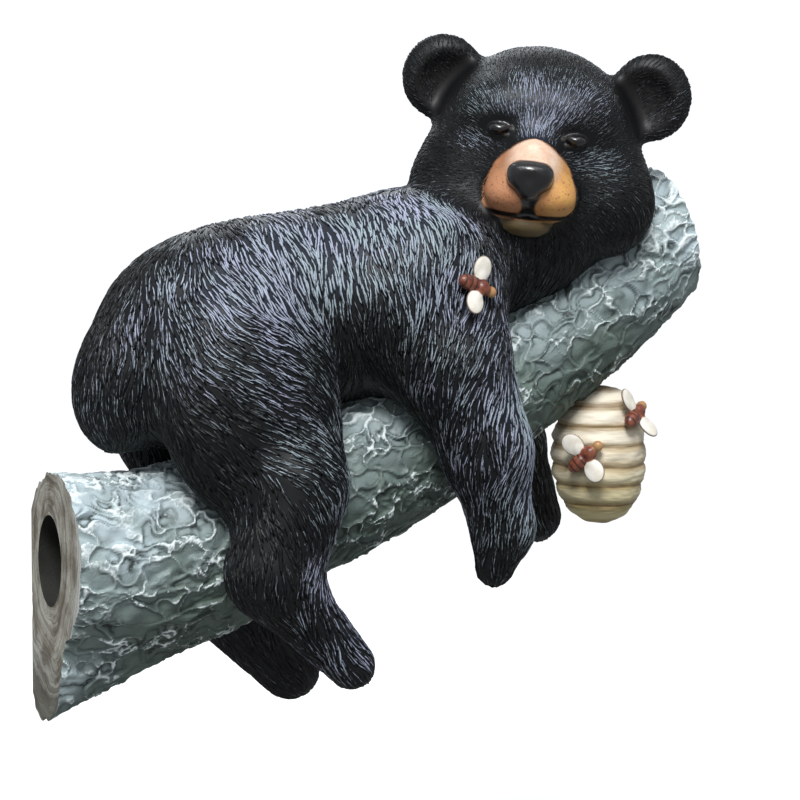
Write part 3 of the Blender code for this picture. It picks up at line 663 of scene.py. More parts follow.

# %% [markdown]
# ## The lie of the coat
#
# Carved fur reads as fur only if its strokes follow the way real hair grows.  Each line
# below names a place on the body, the way the hair runs there and how strongly pale paint
# was dragged over it.  That pale paint is heaviest on the top of the back, the shoulders
# and the fronts of the legs, where the light from above falls, so it is partly a painted
# highlight.  Places between them mix.  On the head the hair radiates from the
# bridge of the nose.

# %% Describe the coat
# The third number is the pale drag, partly a painted highlight: high on the top of the back, the
# shoulders and the fronts of the legs, low on the belly and lower legs.
COAT = [
    ((58, -30, 190), (0.05, -0.30, -0.95), 0.55), ((36, -35, 173), (0.20, -0.10, -0.97), 0.45),
    ((12, -20, 125), (-0.15, -0.05, -1.00), 0.28), ((14, 0, 110), (-0.30, 0.10, -0.95), 0.20),
    ((23, -32, 135), (-0.05, 0.03, -1.00), 0.26), ((33, -55, 128), (0.30, -0.13, -0.94), 0.10),
    ((49, -55, 159), (0.46, -0.20, -0.87), 0.50), ((77, -52, 184), (0.45, -0.20, -0.87), 0.80),
    ((97, -50, 186), (0.16, -0.20, -0.98), 0.85), ((73, -70, 145), (0.81, -0.36, -0.47), 0.40),
    ((100, -77, 124), (0.90, -0.40, -0.17), 0.36), ((100, -78, 104), (0.87, -0.39, -0.31), 0.42),
    ((116, -77, 90), (0.83, -0.37, -0.42), 0.42), ((64, -73, 124), (0.72, -0.32, -0.62), 0.14),
    ((90, -66, 160), (0.88, -0.39, -0.40), 0.44), ((118, -72, 140), (0.88, -0.39, -0.45), 0.28),
    ((132, -70, 118), (0.75, -0.20, -0.66), 0.32), ((65, -77, 101), (0.52, -0.23, -0.82), 0.04),
    ((30, -40, 110), (0.20, -0.10, -1.00), 0.03), ((48, -60, 95), (0.40, -0.20, -0.95), 0.04),
    ((90, -84, 70), (0.35, -0.10, -0.92), 0.08), ((112, -82, 68), (0.45, -0.10, -0.90), 0.25),
    ((138, -80, 78), (0.35, 0.00, -0.95), 0.55),
    ((122, -82, 45), (-0.50, 0.00, -0.85), 0.55), ((88, -84, 40), (0.05, 0.00, -1.00), 0.12),
    ((112, -80, 12), (0.45, 0.00, -0.90), 0.22), ((135, -72, 5), (0.65, 0.00, -0.75), 0.60),
    ((145, -74, -14), (0.70, 0.00, -0.70), 0.06), ((115, -25, 218), (-0.05, -0.65, -0.75), 0.85),
    ((150, -35, 215), (0.00, -0.60, -0.80), 0.85), ((140, -52, 194), (0.05, -0.30, -0.95), 0.85),
    ((148, -60, 172), (0.15, -0.10, -1.00), 0.12), ((165, -50, 115), (0.10, 0.00, -1.00), 0.02),
    ((160, -58, 150), (0.15, -0.05, -1.00), 0.04),
    ((190, -40, 226), (0.00, -0.55, -0.85), 0.95), ((185, -66, 195), (-0.02, -0.30, -0.95), 0.66),
    ((205, -70, 190), (-0.35, -0.20, -0.92), 0.58), ((218, -68, 158), (-0.65, 0.00, -0.75), 0.52),
    ((192, -72, 150), (-0.30, 0.00, -0.95), 0.36), ((232, -68, 122), (-0.40, 0.00, -0.90), 1.00),
    ((240, -66, 80), (-0.45, 0.00, -0.90), 0.90), ((208, -78, 105), (-0.10, 0.00, -1.00), 0.30),
    ((218, -74, 70), (-0.20, 0.00, -1.00), 0.35), ((227, -66, 40), (-0.10, 0.00, -1.00), 0.15),
    ((235, -35, 205), (0.30, -0.20, -0.90), 0.25), ((262, -50, 190), (-0.10, 0.10, -1.00), 0.00),
    ((300, -45, 185), (0.20, 0.25, -0.95), 0.02), ((225, 0, 235), (-0.30, 0.00, -0.60), 0.30),
    ((52, 0, 199), (-0.20, -0.30, -0.90), 0.10), ((28, 0, 172), (-0.20, -0.15, -0.95), 0.08),
    ((92, 0, 216), (0.00, -0.60, -0.60), 0.20), ((150, 0, 228), (0.00, -0.65, -0.50), 0.28),
    ((50, 35, 190), (-0.40, 0.35, -0.80), 0.30), ((15, 25, 130), (-0.15, 0.20, -1.00), 0.35),
    ((95, 55, 190), (0.20, 0.45, -0.85), 0.60), ((110, 75, 150), (0.75, 0.10, -0.60), 0.60),
    ((70, 75, 115), (0.45, 0.05, -0.90), 0.20), ((130, 78, 95), (0.60, 0.00, -0.80), 0.45),
    ((100, 82, 45), (0.10, 0.00, -1.00), 0.15), ((125, 80, 5), (0.65, 0.00, -0.75), 0.30),
    ((150, 70, -30), (0.70, 0.00, -0.70), 0.08), ((145, 35, 222), (0.00, 0.60, -0.80), 0.75),
    ((150, 58, 185), (0.05, 0.35, -0.95), 0.55), ((165, 55, 130), (0.10, 0.00, -1.00), 0.10),
    ((205, 45, 228), (0.00, 0.55, -0.85), 0.80), ((216, 70, 190), (0.05, 0.25, -0.95), 0.70),
    ((245, 70, 150), (0.50, 0.05, -0.85), 0.55), ((285, 72, 95), (0.45, 0.00, -0.90), 0.30),
    ((305, 64, 60), (0.30, 0.00, -0.95), 0.12), ((250, 40, 215), (-0.30, 0.50, -0.80), 0.30),
    ((95, -40, 10), (0.40, 0.30, -0.90), 0.02), ((130, 40, 0), (0.50, -0.20, -0.90), 0.02),
]
COAT_PLACES, COAT_WAYS = (np.array([entry[k] for entry in COAT], float) for k in (0, 1))
COAT_DRAG_AND_HIGHLIGHT = np.array([entry[2] for entry in COAT])
PARTING = np.array((0.0, -8.0, 60.0))
# Pale drag on the head, partly a painted highlight.
HEAD_DRAG_AND_HIGHLIGHT = [((4, 30), (30, 13), 0.72), ((0, 13), (10, 8), 0.80), ((30, 1), (14, 7), 0.50),
              ((-29, 4), (11, 6), 0.45), ((40, -8), (13, 12), 0.16), ((-26, 24), (12, 7), 0.35),
              ((69, 27), (11, 14), 0.34), ((-58, 26), (9, 10), 0.25)]
HEAD_DRAG_AND_HIGHLIGHT_BASE = 0.07
HEAD_REACH = (72, 70, 64)
EAR_REACH, EAR_FADE = 8, 5


def head_share(points):
    """Return 1 on the head and 0 on the body, with a soft border at the neck."""
    h = into_head(points)
    reach = np.linalg.norm(h / np.array(HEAD_REACH), axis=1)
    share = np.clip((1.12 - reach) / 0.25, 0, 1) * np.clip((h[:, 1] + 62) / 14, 0, 1)
    for side in (-1, 1):
        near = (EAR_REACH - distance_to(ear_masses(side)[0], h)) / EAR_FADE
        share = np.maximum(share, np.clip(near, 0, 1))
    return share


def head_drag_and_highlight(h):
    """Return the strength of the pale paint on the head, partly a painted highlight: weaker at the
    temples and the top.
    """
    across, up, ahead = h.T
    brush = np.full(len(h), HEAD_DRAG_AND_HIGHLIGHT_BASE)
    for (x, y), (wide, tall), more in HEAD_DRAG_AND_HIGHLIGHT:
        patch = np.exp(-((across - x) / wide) ** 2 - ((up - y) / tall) ** 2)
        brush += more * patch * (ahead > -20)
    across = np.abs(across)
    brush *= 1 - 0.45 * np.clip((across - 38) / 8, 0, 1) * np.clip((up - 16) / 8, 0, 1)
    brush *= 1 - 0.7 * np.clip((up - 47) / 9, 0, 1) * np.clip((44 - across) / 6, 0, 1)
    return brush


def coat_at(points, normals):
    """Return the way of the hair along the surface and the strength of the pale paint, partly a
    painted highlight.
    """
    d2 = ((points[:, None, :] - COAT_PLACES[None]) ** 2).sum(-1)
    weight = 1.0 / (d2 + 40.0) ** 2
    weight /= weight.sum(1, keepdims=True)
    flow = weight @ COAT_WAYS
    brush = weight @ COAT_DRAG_AND_HIGHLIGHT
    h = into_head(points)
    away = h - PARTING
    away[:, 1] *= 1.1
    away = unit(away)
    share = head_share(points)[:, None]
    flow = flow * (1 - share) + (away @ HEAD_AXES.T) * share
    flow = unit(flow - normals * (flow * normals).sum(1, keepdims=True))
    brush = brush * (1 - share[:, 0]) + head_drag_and_highlight(h) * share[:, 0]
    return flow, brush


print("coat laid at", len(COAT), "places")

# %% Find the bare patches and the waves
MUZZLE_OUTLINE = [(-43, 0), (-42, 8), (-39, 12.5), (-34, 15.5), (-32, 21), (-29.5, 24),
                  (-26, 26), (-16.5, 26.3), (-4, 21.0), (0, 18.2), (4, 14.6), (6.6, 11.8),
                  (8.6, 8.6), (9.8, 5.4), (10.5, 0)]
EAR_CUPS = [((55.5, 34.5, 3), (20, 20, 9)), ((-50.5, 33.5, 3), (20, 20, 9))]
EYE_CLEARING = (9.4, 5.2, 12)
FACE_DEPTH = 26


def soft_step(values, start, end):
    """Return 0 before start and 1 after end, easing between them."""
    t = np.clip((values - start) / (end - start), 0, 1)
    return t * t * (3 - 2 * t)


def inside_snout(h):
    """Return how far inside the painted snout's outline each point of the head lies."""
    rows, widths = zip(*MUZZLE_OUTLINE)
    half = np.interp(h[:, 1], rows, widths, left=-8, right=-8)
    return half - np.abs(h[:, 0])


def bare_patches(points):
    """Return 0 on the snout, eyes and inner ears and 1 on the furry rest."""
    h = into_head(points)
    spots = EAR_CUPS + [(EYE_CENTRES[side], EYE_CLEARING) for side in (-1, 1)]
    keep = np.where(h[:, 2] > FACE_DEPTH, np.clip((2.6 - inside_snout(h)) / 1.6, 0, 1), 1.0)
    for at, radii in spots:
        near = np.linalg.norm((h - np.array(at, float)) / np.array(radii, float), axis=1)
        keep = np.minimum(keep, np.clip((near - 0.92) / 0.18, 0, 1))
    return keep


def ripple_field(wavelength, count=7):
    """Make a smooth random field between about -1 and 1 that changes over a wavelength."""
    ways = rng.normal(size=(count, 3))
    turns = 2 * math.pi / wavelength * rng.uniform(0.7, 1.4, count)
    ways *= (turns / np.linalg.norm(ways, axis=1))[:, None]
    starts = rng.uniform(0, 2 * math.pi, count)
    return lambda points: np.sin(points @ ways.T + starts).sum(1) / math.sqrt(count)


def ripple(points, wavelength):
    """Return a new smooth random value at every point."""
    return ripple_field(wavelength)(points)


def wander(points, wavelength):
    """Return a new smooth random way at every point."""
    return np.stack([ripple(points, wavelength) for _ in range(3)], axis=1)


WAVE, FINE_WAVE = ripple_field(26), ripple_field(11)
nose_tip = HEAD_CENTRE[None] + HEAD_AXES[:, 2] * 70
print("share of bare skin at the nose:", 1 - bare_patches(nose_tip)[0])

# %% [markdown]
# ## Where the cub's paints lie
#
# The painter used a few paints: black, the pale drag over the strokes, warm tan on the
# snout with a dark mouth and chin, gloss black on nose and eyes, dull grey lids, and a thin
# brown-black in the ears.  The pale drag is partly a painted highlight, strongest where the
# light from above falls.  Each area is a soft mask worked out from the same masses as the
# form, stored on the vertices.

# %% Mark the painted areas
def drag_share(points):
    """Return how much of the pale drag, partly a painted highlight, stays: none round the eyes."""
    h = into_head(points)
    share = np.ones(len(h))
    for side in (-1, 1):
        centre = np.array(EYE_CENTRES[side]) + (side * 1.5, 1.8, 4)
        reach = np.linalg.norm((h - centre) / np.array((11.5, 7.0, 18)), axis=1)
        share = np.minimum(share, soft_step(reach, 0.8, 1.2))
    return share


def mark_paints(obj, points):
    """Store the masks for the snout and its bridge, mouth, chin, nose, eyes, lids and ears."""
    h = into_head(points)
    across, up, ahead = h[:, 0], h[:, 1], h[:, 2]
    tan = soft_step(inside_snout(h), -1.5, 2.5 + 0.3 * np.clip(up + 4, 0, 12))
    tan *= soft_step(ahead, 26, 33)
    nose = 1 - soft_step(build_up(NOSE, h), 0.15, 0.9)
    lane = 2.9 + 0.42 * np.clip(up + 25, 0, 9) + 0.5 * np.clip(-28 - up, 0, 4)
    groove = 1 - soft_step(np.abs(across - 0.3), lane, lane + 1.5)
    groove *= soft_step(up, -33.5, -32) * (1 - soft_step(up, -15, -12)) * soft_step(ahead, 50, 54)
    off_mouth_line = np.abs(up - (-32.0 + 0.0025 * across ** 2))
    mouth = (1 - soft_step(off_mouth_line, 1.0, 2.1)) * (1 - soft_step(np.abs(across), 22, 26))
    mouth *= soft_step(ahead, 36, 42)
    eyes, lids, ears = np.zeros((3, len(h)))
    for side in (-1, 1):
        ball_d = distance_to(eye_ball(side), h)
        lid_d = build_up(lid_masses(side), h)
        eyes = np.maximum(eyes, (1 - soft_step(ball_d, 0.2, 0.7)) * soft_step(lid_d, 0.1, 0.5))
        lids = np.maximum(lids, 1 - soft_step(lid_d, 0.1, 0.5))
        cup = ear_masses(side)[1]
        ears = np.maximum(ears, 1 - soft_step(np.abs(distance_to(cup, h)), 0.6, 1.6))
    chin = soft_step(-up, 33, 34.5) * soft_step(ahead, 36, 42)
    bridge = soft_step(up, -20, -3) * (1 - soft_step(np.abs(across - 1), 7, 20))
    masks = {"tan": tan, "nose": np.maximum(nose, groove), "mouth": mouth, "chin": chin,
             "lid": lids, "eye": eyes, "ear": ears, "bridge": bridge}
    for name, values in masks.items():
        keep_value(obj, name, values)


bear_points = points_of(bear)
bear_normals = slopes(bear_distance, bear_points)
mark_paints(bear, bear_points)
# The pale drag, partly a painted highlight, is stored on the skin.
keep_value(bear, "drag_and_highlight", coat_at(bear_points, bear_normals)[1] * drag_share(bear_points))
shade_smooth(bear)
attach(bear, "root")
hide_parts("bear")
print("cub of", triangles(bear), "triangles")

# %% [markdown]
# ## Carved strokes
#
# The carver cut the coat stroke by stroke: each is a slim ridge that rises out of the
# skin, follows the lie of the hair and ends in a point over the roots of the next.  A
# texture could only darken the gaps, so every stroke is real geometry.  One slim closed
# form, a sphere of three sides from `create_uvsphere`, is repeated by an Array modifier,
# and each copy is bent along its own traced line.  On the far side the strokes are
# longer and wider.

# %% Choose where the strokes start
STROKE_SPACING = (1.8, 4.7)
STROKE_LENGTH, STROKE_HALF_WIDTH, STROKE_HEIGHT = 16.0, 1.45, 1.1
STROKE_STATIONS = 5
HEAD_STROKE, FAR_STROKE = 0.52, 1.6
HIND_END_X = 128
LEAN, CURL = 0.09, 0.30
WAVE_SHARE, FINE_WAVE_SHARE = 0.16, 0.08
WIDEST, SUNK = 0.4, 0.3


def stroke_size(points, normals):
    """Return how large the strokes are: small on the head and large on the far side."""
    facing = normals @ np.array(toward_camera)
    far = np.clip((-0.12 - facing) / 0.3, 0, 1)
    share = head_share(points)
    near_size = 1.0 + (HEAD_STROKE - 1.0) * share
    return near_size * (1 + (FAR_STROKE - 1.0) * far)


def stroke_roots(points, reach=1.2):
    """Choose starting points, further apart along the hair than across it."""
    points = np.concatenate([points] * 3) + rng.uniform(-reach, reach, (len(points) * 3, 3))
    normals = slopes(bear_distance, points)
    points = points - normals * bear_distance(points)[:, None]
    furry = (bare_patches(points) > 0.45) & (branch_distance(points) > 1.2)
    points, normals = points[furry], normals[furry]
    flow, _ = coat_at(points, normals)
    side = np.cross(normals, flow)
    size = stroke_size(points, normals)
    tree = search_tree(points)
    free = np.ones(len(points), bool)
    chosen = []
    for i in rng.permutation(len(points)):
        if not free[i]:
            continue
        chosen.append(i)
        apart = STROKE_SPACING[1] * size[i]
        near = np.array([hit[1] for hit in tree.find_range(points[i], apart)])
        off = points[near] - points[i]
        along, across = off @ flow[i] / apart, off @ side[i] / (STROKE_SPACING[0] * size[i])
        free[near[(along ** 2 + across ** 2 < 1) & (normals[near] @ normals[i] > 0.3)]] = False
    return points[chosen], size[chosen]


roots, root_sizes = stroke_roots(bear_points)
print("strokes to lay:", len(roots))

# %% Bend a copy of one stroke along every line
def traced(roots, size):
    """Follow the hair from every root and return the stations, normals and side ways."""
    p = roots.copy()
    length = STROKE_LENGTH * size * rng.uniform(0.75, 1.2, len(p))
    lean, curl = rng.normal(0, LEAN, len(p)), rng.normal(0, CURL, len(p))
    out = []
    for step in range(STROKE_STATIONS + 1):
        n = slopes(bear_distance, p)
        p = p - n * bear_distance(p)[:, None]
        flow, _ = coat_at(p, n)
        side = np.cross(n, flow)
        turn = lean + curl * (step / STROKE_STATIONS - 0.4)
        turn = (turn + WAVE_SHARE * WAVE(p) + FINE_WAVE_SHARE * FINE_WAVE(p))[:, None]
        c, s = np.cos(turn), np.sin(turn)
        flow, side = flow * c + side * s, side * c - flow * s
        out.append((p, n, side))
        p = p + flow * (length / STROKE_STATIONS)[:, None]
    return [np.stack(rows, axis=1) for rows in zip(*out)]


def lay_strokes(name, roots, size):
    """Make one piece of all the strokes that start at the roots."""
    path, up, side = traced(roots, size)
    keep = (branch_distance(path.reshape(-1, 3)).reshape(path.shape[:2]) > 0.6).all(1)
    keep &= (bare_patches(path.reshape(-1, 3)).reshape(path.shape[:2]) > 0.02).all(1)
    path, up, side, size = path[keep], up[keep], side[keep], size[keep]
    bm = bmesh.new()
    bmesh.ops.create_uvsphere(bm, u_segments=3, v_segments=STROKE_STATIONS, radius=1.0)
    strokes = new_object(name, bm)
    x, y, z = (points_of(strokes) * MM).T
    out = np.hypot(x, y)
    station = np.round(np.arccos(np.clip(z, -1, 1)) / math.pi * STROKE_STATIONS).astype(int)
    crest = np.where(out < 0.01, 0.5, np.where(x > 0.1 * out, 1.0, 0.0))
    across = np.where(crest == 0, np.sign(y), 0.0)
    u = station / STROKE_STATIONS
    wide = np.where(u < WIDEST, 0.45 + 0.55 * u / WIDEST,
                    np.sqrt(np.clip(1 - ((u - WIDEST) / 0.62) ** 2, 0, 1)))
    tall = np.clip(u / 0.45, 0, 1) * np.clip((1.15 - u) / 0.3, 0, 1) * (crest > 0)
    copies = strokes.modifiers.new("copies", 'ARRAY')
    copies.use_relative_offset = False
    copies.use_constant_offset = True
    copies.constant_offset_displace = (0, 0, 0)
    copies.count = len(path)
    applied(strokes)
    stout = rng.uniform(0.8, 1.15, len(path))[:, None, None]
    rise = rng.uniform(0.7, 1.15, len(path))[:, None, None]
    scale = size[:, None, None]
    half = (across * wide)[None, :, None]
    shape = path[:, station] + side[:, station] * half * STROKE_HALF_WIDTH * scale * stout
    height = (tall * STROKE_HEIGHT)[None, :, None]
    shape += up[:, station] * (height * scale ** 0.7 * rise - SUNK)
    set_points(strokes, shape.reshape(-1, 3))
    # The pale drag stored on each stroke is partly a painted highlight.
    _, brush = coat_at(roots[keep], up[:, 0])
    brush = np.clip(brush + rng.normal(0, 0.08, len(path)), 0, 1)
    keep_value(strokes, "tuft", np.tile(crest, len(path)))
    keep_value(strokes, "drag_and_highlight", np.repeat(brush * drag_share(path[:, 2]), len(station)))
    layer = strokes.data.uv_layers.new(name="hairs")
    corner = np.empty(len(strokes.data.loops), int)
    strokes.data.loops.foreach_get("vertex_index", corner)
    shift = rng.uniform(0, 40, (len(path), 2))
    flat = np.stack([across * STROKE_HALF_WIDTH, u * STROKE_LENGTH], axis=1) / 10
    flat = (flat[None] + shift[:, None]).reshape(-1, 2)
    layer.data.foreach_set("uv", flat[corner].astype(np.float32).ravel())
    shade_smooth(strokes)
    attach(strokes, "root")
    return strokes


on_head = head_share(roots) > 0.5
hind = ~on_head & (roots[:, 0] < HIND_END_X)
fore = ~on_head & ~hind
strokes = [lay_strokes("bear_hind_strokes", roots[hind], root_sizes[hind]),
           lay_strokes("bear_fore_strokes", roots[fore], root_sizes[fore]),
           lay_strokes("bear_head_strokes", roots[on_head], root_sizes[on_head])]
for piece in strokes:
    print(piece.name, "of", triangles(piece), "triangles")

# %% [markdown]
# ## The branch's bark
#
# The bark is not real bark but clay pressed into crumpled plates, each bordered by a thin
# curled ridge.  Scattered seeds give every spot its plate, and the difference between the
# nearest two seeds gives the distance to the ridge.  The seeds live on the unrolled
# branch, where plates can be stretched along it, and a slow warp curls their borders.

# %% Unroll the branch
BARK_ROUND = 42.0


def along_branch(points):
    """Return how far along and at which angle round the branch each point lies."""
    line = BRANCH_SPINE[:, :3]
    seg = line[1:] - line[:-1]
    run = np.linalg.norm(seg, axis=1)
    start = np.concatenate([[0.0], np.cumsum(run)[:-1]])
    t = ((points[:, None, :] - line[None, :-1]) * seg[None]).sum(-1) / (run * run)[None]
    t = np.clip(t, 0, 1)
    foot = line[None, :-1] + seg[None] * t[..., None]
    best = np.linalg.norm(points[:, None, :] - foot, axis=2).argmin(1)
    rows = np.arange(len(points))
    off = points - foot[rows, best]
    tangent = seg[best] / run[best][:, None]
    side = np.array([0.0, 1.0, 0.0])
    angle = np.arctan2(off @ side, (off * np.cross(tangent, side)).sum(1))
    return start[best] + run[best] * t[rows, best], angle


print("the branch unrolls to", round(float(along_branch(BRANCH_SPINE[-1:, :3])[0][0])), "mm")

# %% Press the bark
PLATE_PITCH, WRINKLE_PITCH = 9.5, 5.0
PLATE_STRETCH, FOOT_STRETCH = 1.35, 2.1
BARK_HEIGHT = 2.6
FOOT_END, FOOT_FADE = 60, 80
SEED_TRIES, SEED_APART = 6, 0.78
RIDGE_RISE, WRINKLE_RISE, PLATE_RISE, SWELL_RISE, BARK_SINK = 1.7, 1.0, 0.9, 0.35, 0.45


def plates(surface, pitch, reach):
    """Return each point's plate, its offset in it, its distance to the border and the count."""
    count = int(2 * math.pi * BARK_ROUND * reach / pitch ** 2)
    angle = rng.uniform(-math.pi, math.pi, count * SEED_TRIES)
    along = rng.uniform(0, reach, count * SEED_TRIES)
    seeds = np.stack([BARK_ROUND * np.cos(angle), BARK_ROUND * np.sin(angle), along], axis=1)
    seeds = seeds[spread(seeds, pitch * SEED_APART)]
    tree = search_tree(seeds)
    hits = [tree.find_n(q, 2) for q in surface]
    own = np.array([hit[0][1] for hit in hits])
    gap = np.array([hit[1][2] - hit[0][2] for hit in hits])
    return own, surface - seeds[own], gap, len(seeds)


def press_bark(obj):
    """Raise the plates, ridges and wrinkles and store where they lie for the paint, with the
    painted shade beside the ridges and the upward faces for a painted top light.
    """
    p = points_of(obj)
    n = slopes(branch_distance, p)
    s, angle = along_branch(p)
    ladder = np.linspace(0, s.max(), 200)
    share = np.clip((ladder - FOOT_END) / FOOT_FADE, 0, 1)
    pace = 1 / (FOOT_STRETCH + (PLATE_STRETCH - FOOT_STRETCH) * share)
    steps = np.cumsum((pace[1:] + pace[:-1]) / 2 * np.diff(ladder))
    unrolled = np.interp(s, ladder, np.concatenate([[0], steps]))
    flat = np.stack([BARK_ROUND * np.cos(angle), BARK_ROUND * np.sin(angle), unrolled], axis=1)
    own, off, gap, count = plates(flat + wander(p, 15) * 2.6, PLATE_PITCH, unrolled.max())
    tilt = rng.normal(0, 0.24, (count, 3))
    lift = rng.uniform(-0.8, 0.8, count)
    plate = np.clip(lift[own] + (off * tilt[own]).sum(1), -1.3, 1.3)
    plate *= soft_step(gap, 0.2, 2.2)
    # A dark line beside each ridge, partly a wash and partly painted shade.
    wash_and_shade = np.exp(-((gap - 2.6) / 1.1) ** 2)
    ridge = np.exp(-(gap / 1.15) ** 2) * (0.72 + 0.28 * ripple(p, 24))
    _, _, gap, _ = plates(flat + wander(p, 8) * 1.8, WRINKLE_PITCH, unrolled.max())
    wrinkle = np.exp(-(gap / 0.85) ** 2) * np.clip(0.35 + 0.75 * ripple(p, 26), 0, 1)
    rise = RIDGE_RISE * ridge + WRINKLE_RISE * wrinkle + PLATE_RISE * plate
    rise = rise + SWELL_RISE * ripple(p, 12) - BARK_SINK
    rise = np.minimum(evened(obj, rise, 1), BARK_HEIGHT)
    keep_value(obj, "wash_and_shade", wash_and_shade * np.clip(0.6 + 0.5 * ripple(p, 20), 0, 1))
    seat = np.clip((bear_distance(p) - 1.6) * 0.8, 0, 5) - 0.12
    set_points(obj, p + n * np.minimum(rise, seat)[:, None])
    keep_value(obj, "ridge", np.clip(0.85 * ridge + 0.6 * wrinkle + 0.35 * plate, 0, 1))
    # The upward faces are stored for a painted top light.
    keep_value(obj, "painted_top_light", 0.5 + 0.5 * n[:, 2])
    keep_value(obj, "along", s / s.max())
    return count


BRANCH_VOXEL = 1.9


def wrap_branch():
    """Make the branch's closed skin, finer on the near side where it isn't covered."""
    branch = rough_shape("branch_bark", [(BRANCH_LIMBS + [BRANCH_FLARE], Matrix())])
    settled(skinned(branch, COARSE_VOXEL), branch_distance, 3)
    settled(skinned(branch, BRANCH_VOXEL), branch_distance, 2)
    facing = of_faces(branch, "normal") @ np.array(toward_camera)
    refined(branch, (facing > 0.0) & (bear_distance(face_middles(branch)) > -1.0))
    return settled(branch, branch_distance, 2)


branch = wrap_branch()
print("bark plates pressed:", press_bark(branch))

# %% [markdown]
# ## Sawn ends, back and hanging recess
#
# The branch is sliced off square at the wall, flat along the back, and askew at its far
# end.  A plane cut with `bisect_plane` is the plain saw: it leaves one clean face.  The
# hollow that slips over a wall hook, with its keyhole, is taken out with a Boolean, because
# its walls have to go into the solid.

# %% Saw the branch
KEYHOLE_CENTRE, KEYHOLE_RADIUS = (13.0, 36.0), 4.5
KEYHOLE_SLOT, KEYHOLE_DEPTH = (2.2, 12.0), 9.0
RECESS_STEPS = 80


def sawn(obj, point, normal):
    """Saw an object by a plane, keep the side behind the normal and close the cut."""
    bm = bmesh.new()
    bm.from_mesh(obj.data)
    cut = bmesh.ops.bisect_plane(bm, geom=bm.verts[:] + bm.edges[:] + bm.faces[:],
                                 plane_co=[c * MM for c in point], plane_no=normal,
                                 clear_outer=True, dist=1e-7)
    rim = [e for e in cut["geom_cut"] if isinstance(e, bmesh.types.BMEdge)]
    bmesh.ops.contextual_create(bm, geom=rim)
    bmesh.ops.triangulate(bm, faces=[f for f in bm.faces if len(f.verts) > 4])
    bmesh.ops.recalc_face_normals(bm, faces=bm.faces[:])
    bm.to_mesh(obj.data)
    bm.free()


def upright_prism(name, outline, x0, x1):
    """Make a closed prism along X from an outline of (y, z) points."""
    bm = bmesh.new()
    face = bm.faces.new([bm.verts.new((x0 * MM, y * MM, z * MM)) for y, z in outline])
    moved = bmesh.ops.extrude_face_region(bm, geom=[face])["geom"]
    verts = [g for g in moved if isinstance(g, bmesh.types.BMVert)]
    bmesh.ops.translate(bm, verts=verts, vec=((x1 - x0) * MM, 0, 0))
    bmesh.ops.recalc_face_normals(bm, faces=bm.faces[:])
    return new_object(name, bm)


def arc(centre, reach, first, last, count):
    """Return points along an arc of an oval."""
    steps = np.linspace(first, last, count)
    return [(centre[0] + reach[0] * math.cos(a), centre[1] + reach[1] * math.sin(a)) for a in steps]


for point, normal in (SAWN_FACE, BACK_FLAT, END_CUT):
    sawn(branch, point, normal)
full = 2 * math.pi * (RECESS_STEPS - 1) / RECESS_STEPS
recess = upright_prism("recess_tool", arc(RECESS_CENTRE, RECESS_HALF, 0, full, RECESS_STEPS),
                       -5.0, RECESS_DEPTH)
cut_away(branch, recess)
slot_half, slot_tall = KEYHOLE_SLOT
start = math.acos(slot_half / KEYHOLE_RADIUS)
round_part = (KEYHOLE_RADIUS, KEYHOLE_RADIUS)
slot_top = (KEYHOLE_CENTRE[0], KEYHOLE_CENTRE[1] + slot_tall)
outline = arc(KEYHOLE_CENTRE, round_part, math.pi - start, 2 * math.pi + start, 25)
outline += arc(slot_top, (slot_half, slot_half), 0, math.pi, 9)
keyhole = upright_prism("keyhole_tool", outline, RECESS_DEPTH - 2.0, RECESS_DEPTH + KEYHOLE_DEPTH)
cut_away(branch, keyhole)
for tool in (recess, keyhole):
    bpy.data.objects.remove(tool)
print("branch of", len(branch.data.vertices), "points")

# %% Mark the sawn faces
BARK, SAWN_FOOT, SAWN_END, HOLLOW = 0, 1, 2, 3
SHARP = 0.6


def mark_cuts(obj):
    """Give bark, sawn ends and moulded hollows their own material places and sharp rims."""
    middle = face_middles(obj)
    normal = of_faces(obj, "normal")
    index = np.full(len(middle), BARK, int)
    for (point, way), place in ((SAWN_FACE, SAWN_FOOT), (END_CUT, SAWN_END), (BACK_FLAT, HOLLOW)):
        way = np.array(way, float) / np.linalg.norm(way)
        on_plane = np.abs((middle - np.array(point)) @ way) < 0.02
        index[on_plane & (normal @ way > 0.99)] = place
    oval = (((middle[:, 1:] - np.array(RECESS_CENTRE)) / np.array(RECESS_HALF)) ** 2).sum(1)
    inside = (middle[:, 0] > 0.02) & (middle[:, 0] < RECESS_DEPTH + KEYHOLE_DEPTH + 1)
    index[(oval < 1.02) & inside] = HOLLOW
    obj.data.polygons.foreach_set("material_index", index.astype(np.int32))
    shade_smooth(obj)
    bm = bmesh.new()
    bm.from_mesh(obj.data)
    for edge in bm.edges:
        faces = edge.link_faces
        if len(faces) == 2:
            cut = any(f.material_index != BARK for f in faces)
            edge.smooth = not (cut and edge.calc_face_angle(0) > SHARP)
    bm.to_mesh(obj.data)
    bm.free()
    return [int((index == k).sum()) for k in range(4)]


print("faces of bark, sawn foot, sawn end and hollow:", mark_cuts(branch))
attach(branch, "root")
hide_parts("branch")

# %% [markdown]
# ## The straw hive
#
# A straw hive is one thick rope of straw wound round and round.  Here it is seven soft
# coils, each bulging between two grooves.  The outline is drawn once and spun about the
# upright axis, which no remesh is needed for, and a little unevenness is pushed in after.
# Its top is pressed against the bark.

# %% Wind the hive
HIVE_CENTRE = (318.0, -6.0, 88.0)
HIVE_RADIUS, HIVE_HALF_HEIGHT = 27.0, 39.0
HIVE_COILS, HIVE_COIL_RELIEF, COIL_ROUND = 7, 1.7, 0.6
HIVE_STEPS, HIVE_ROWS = 160, 126


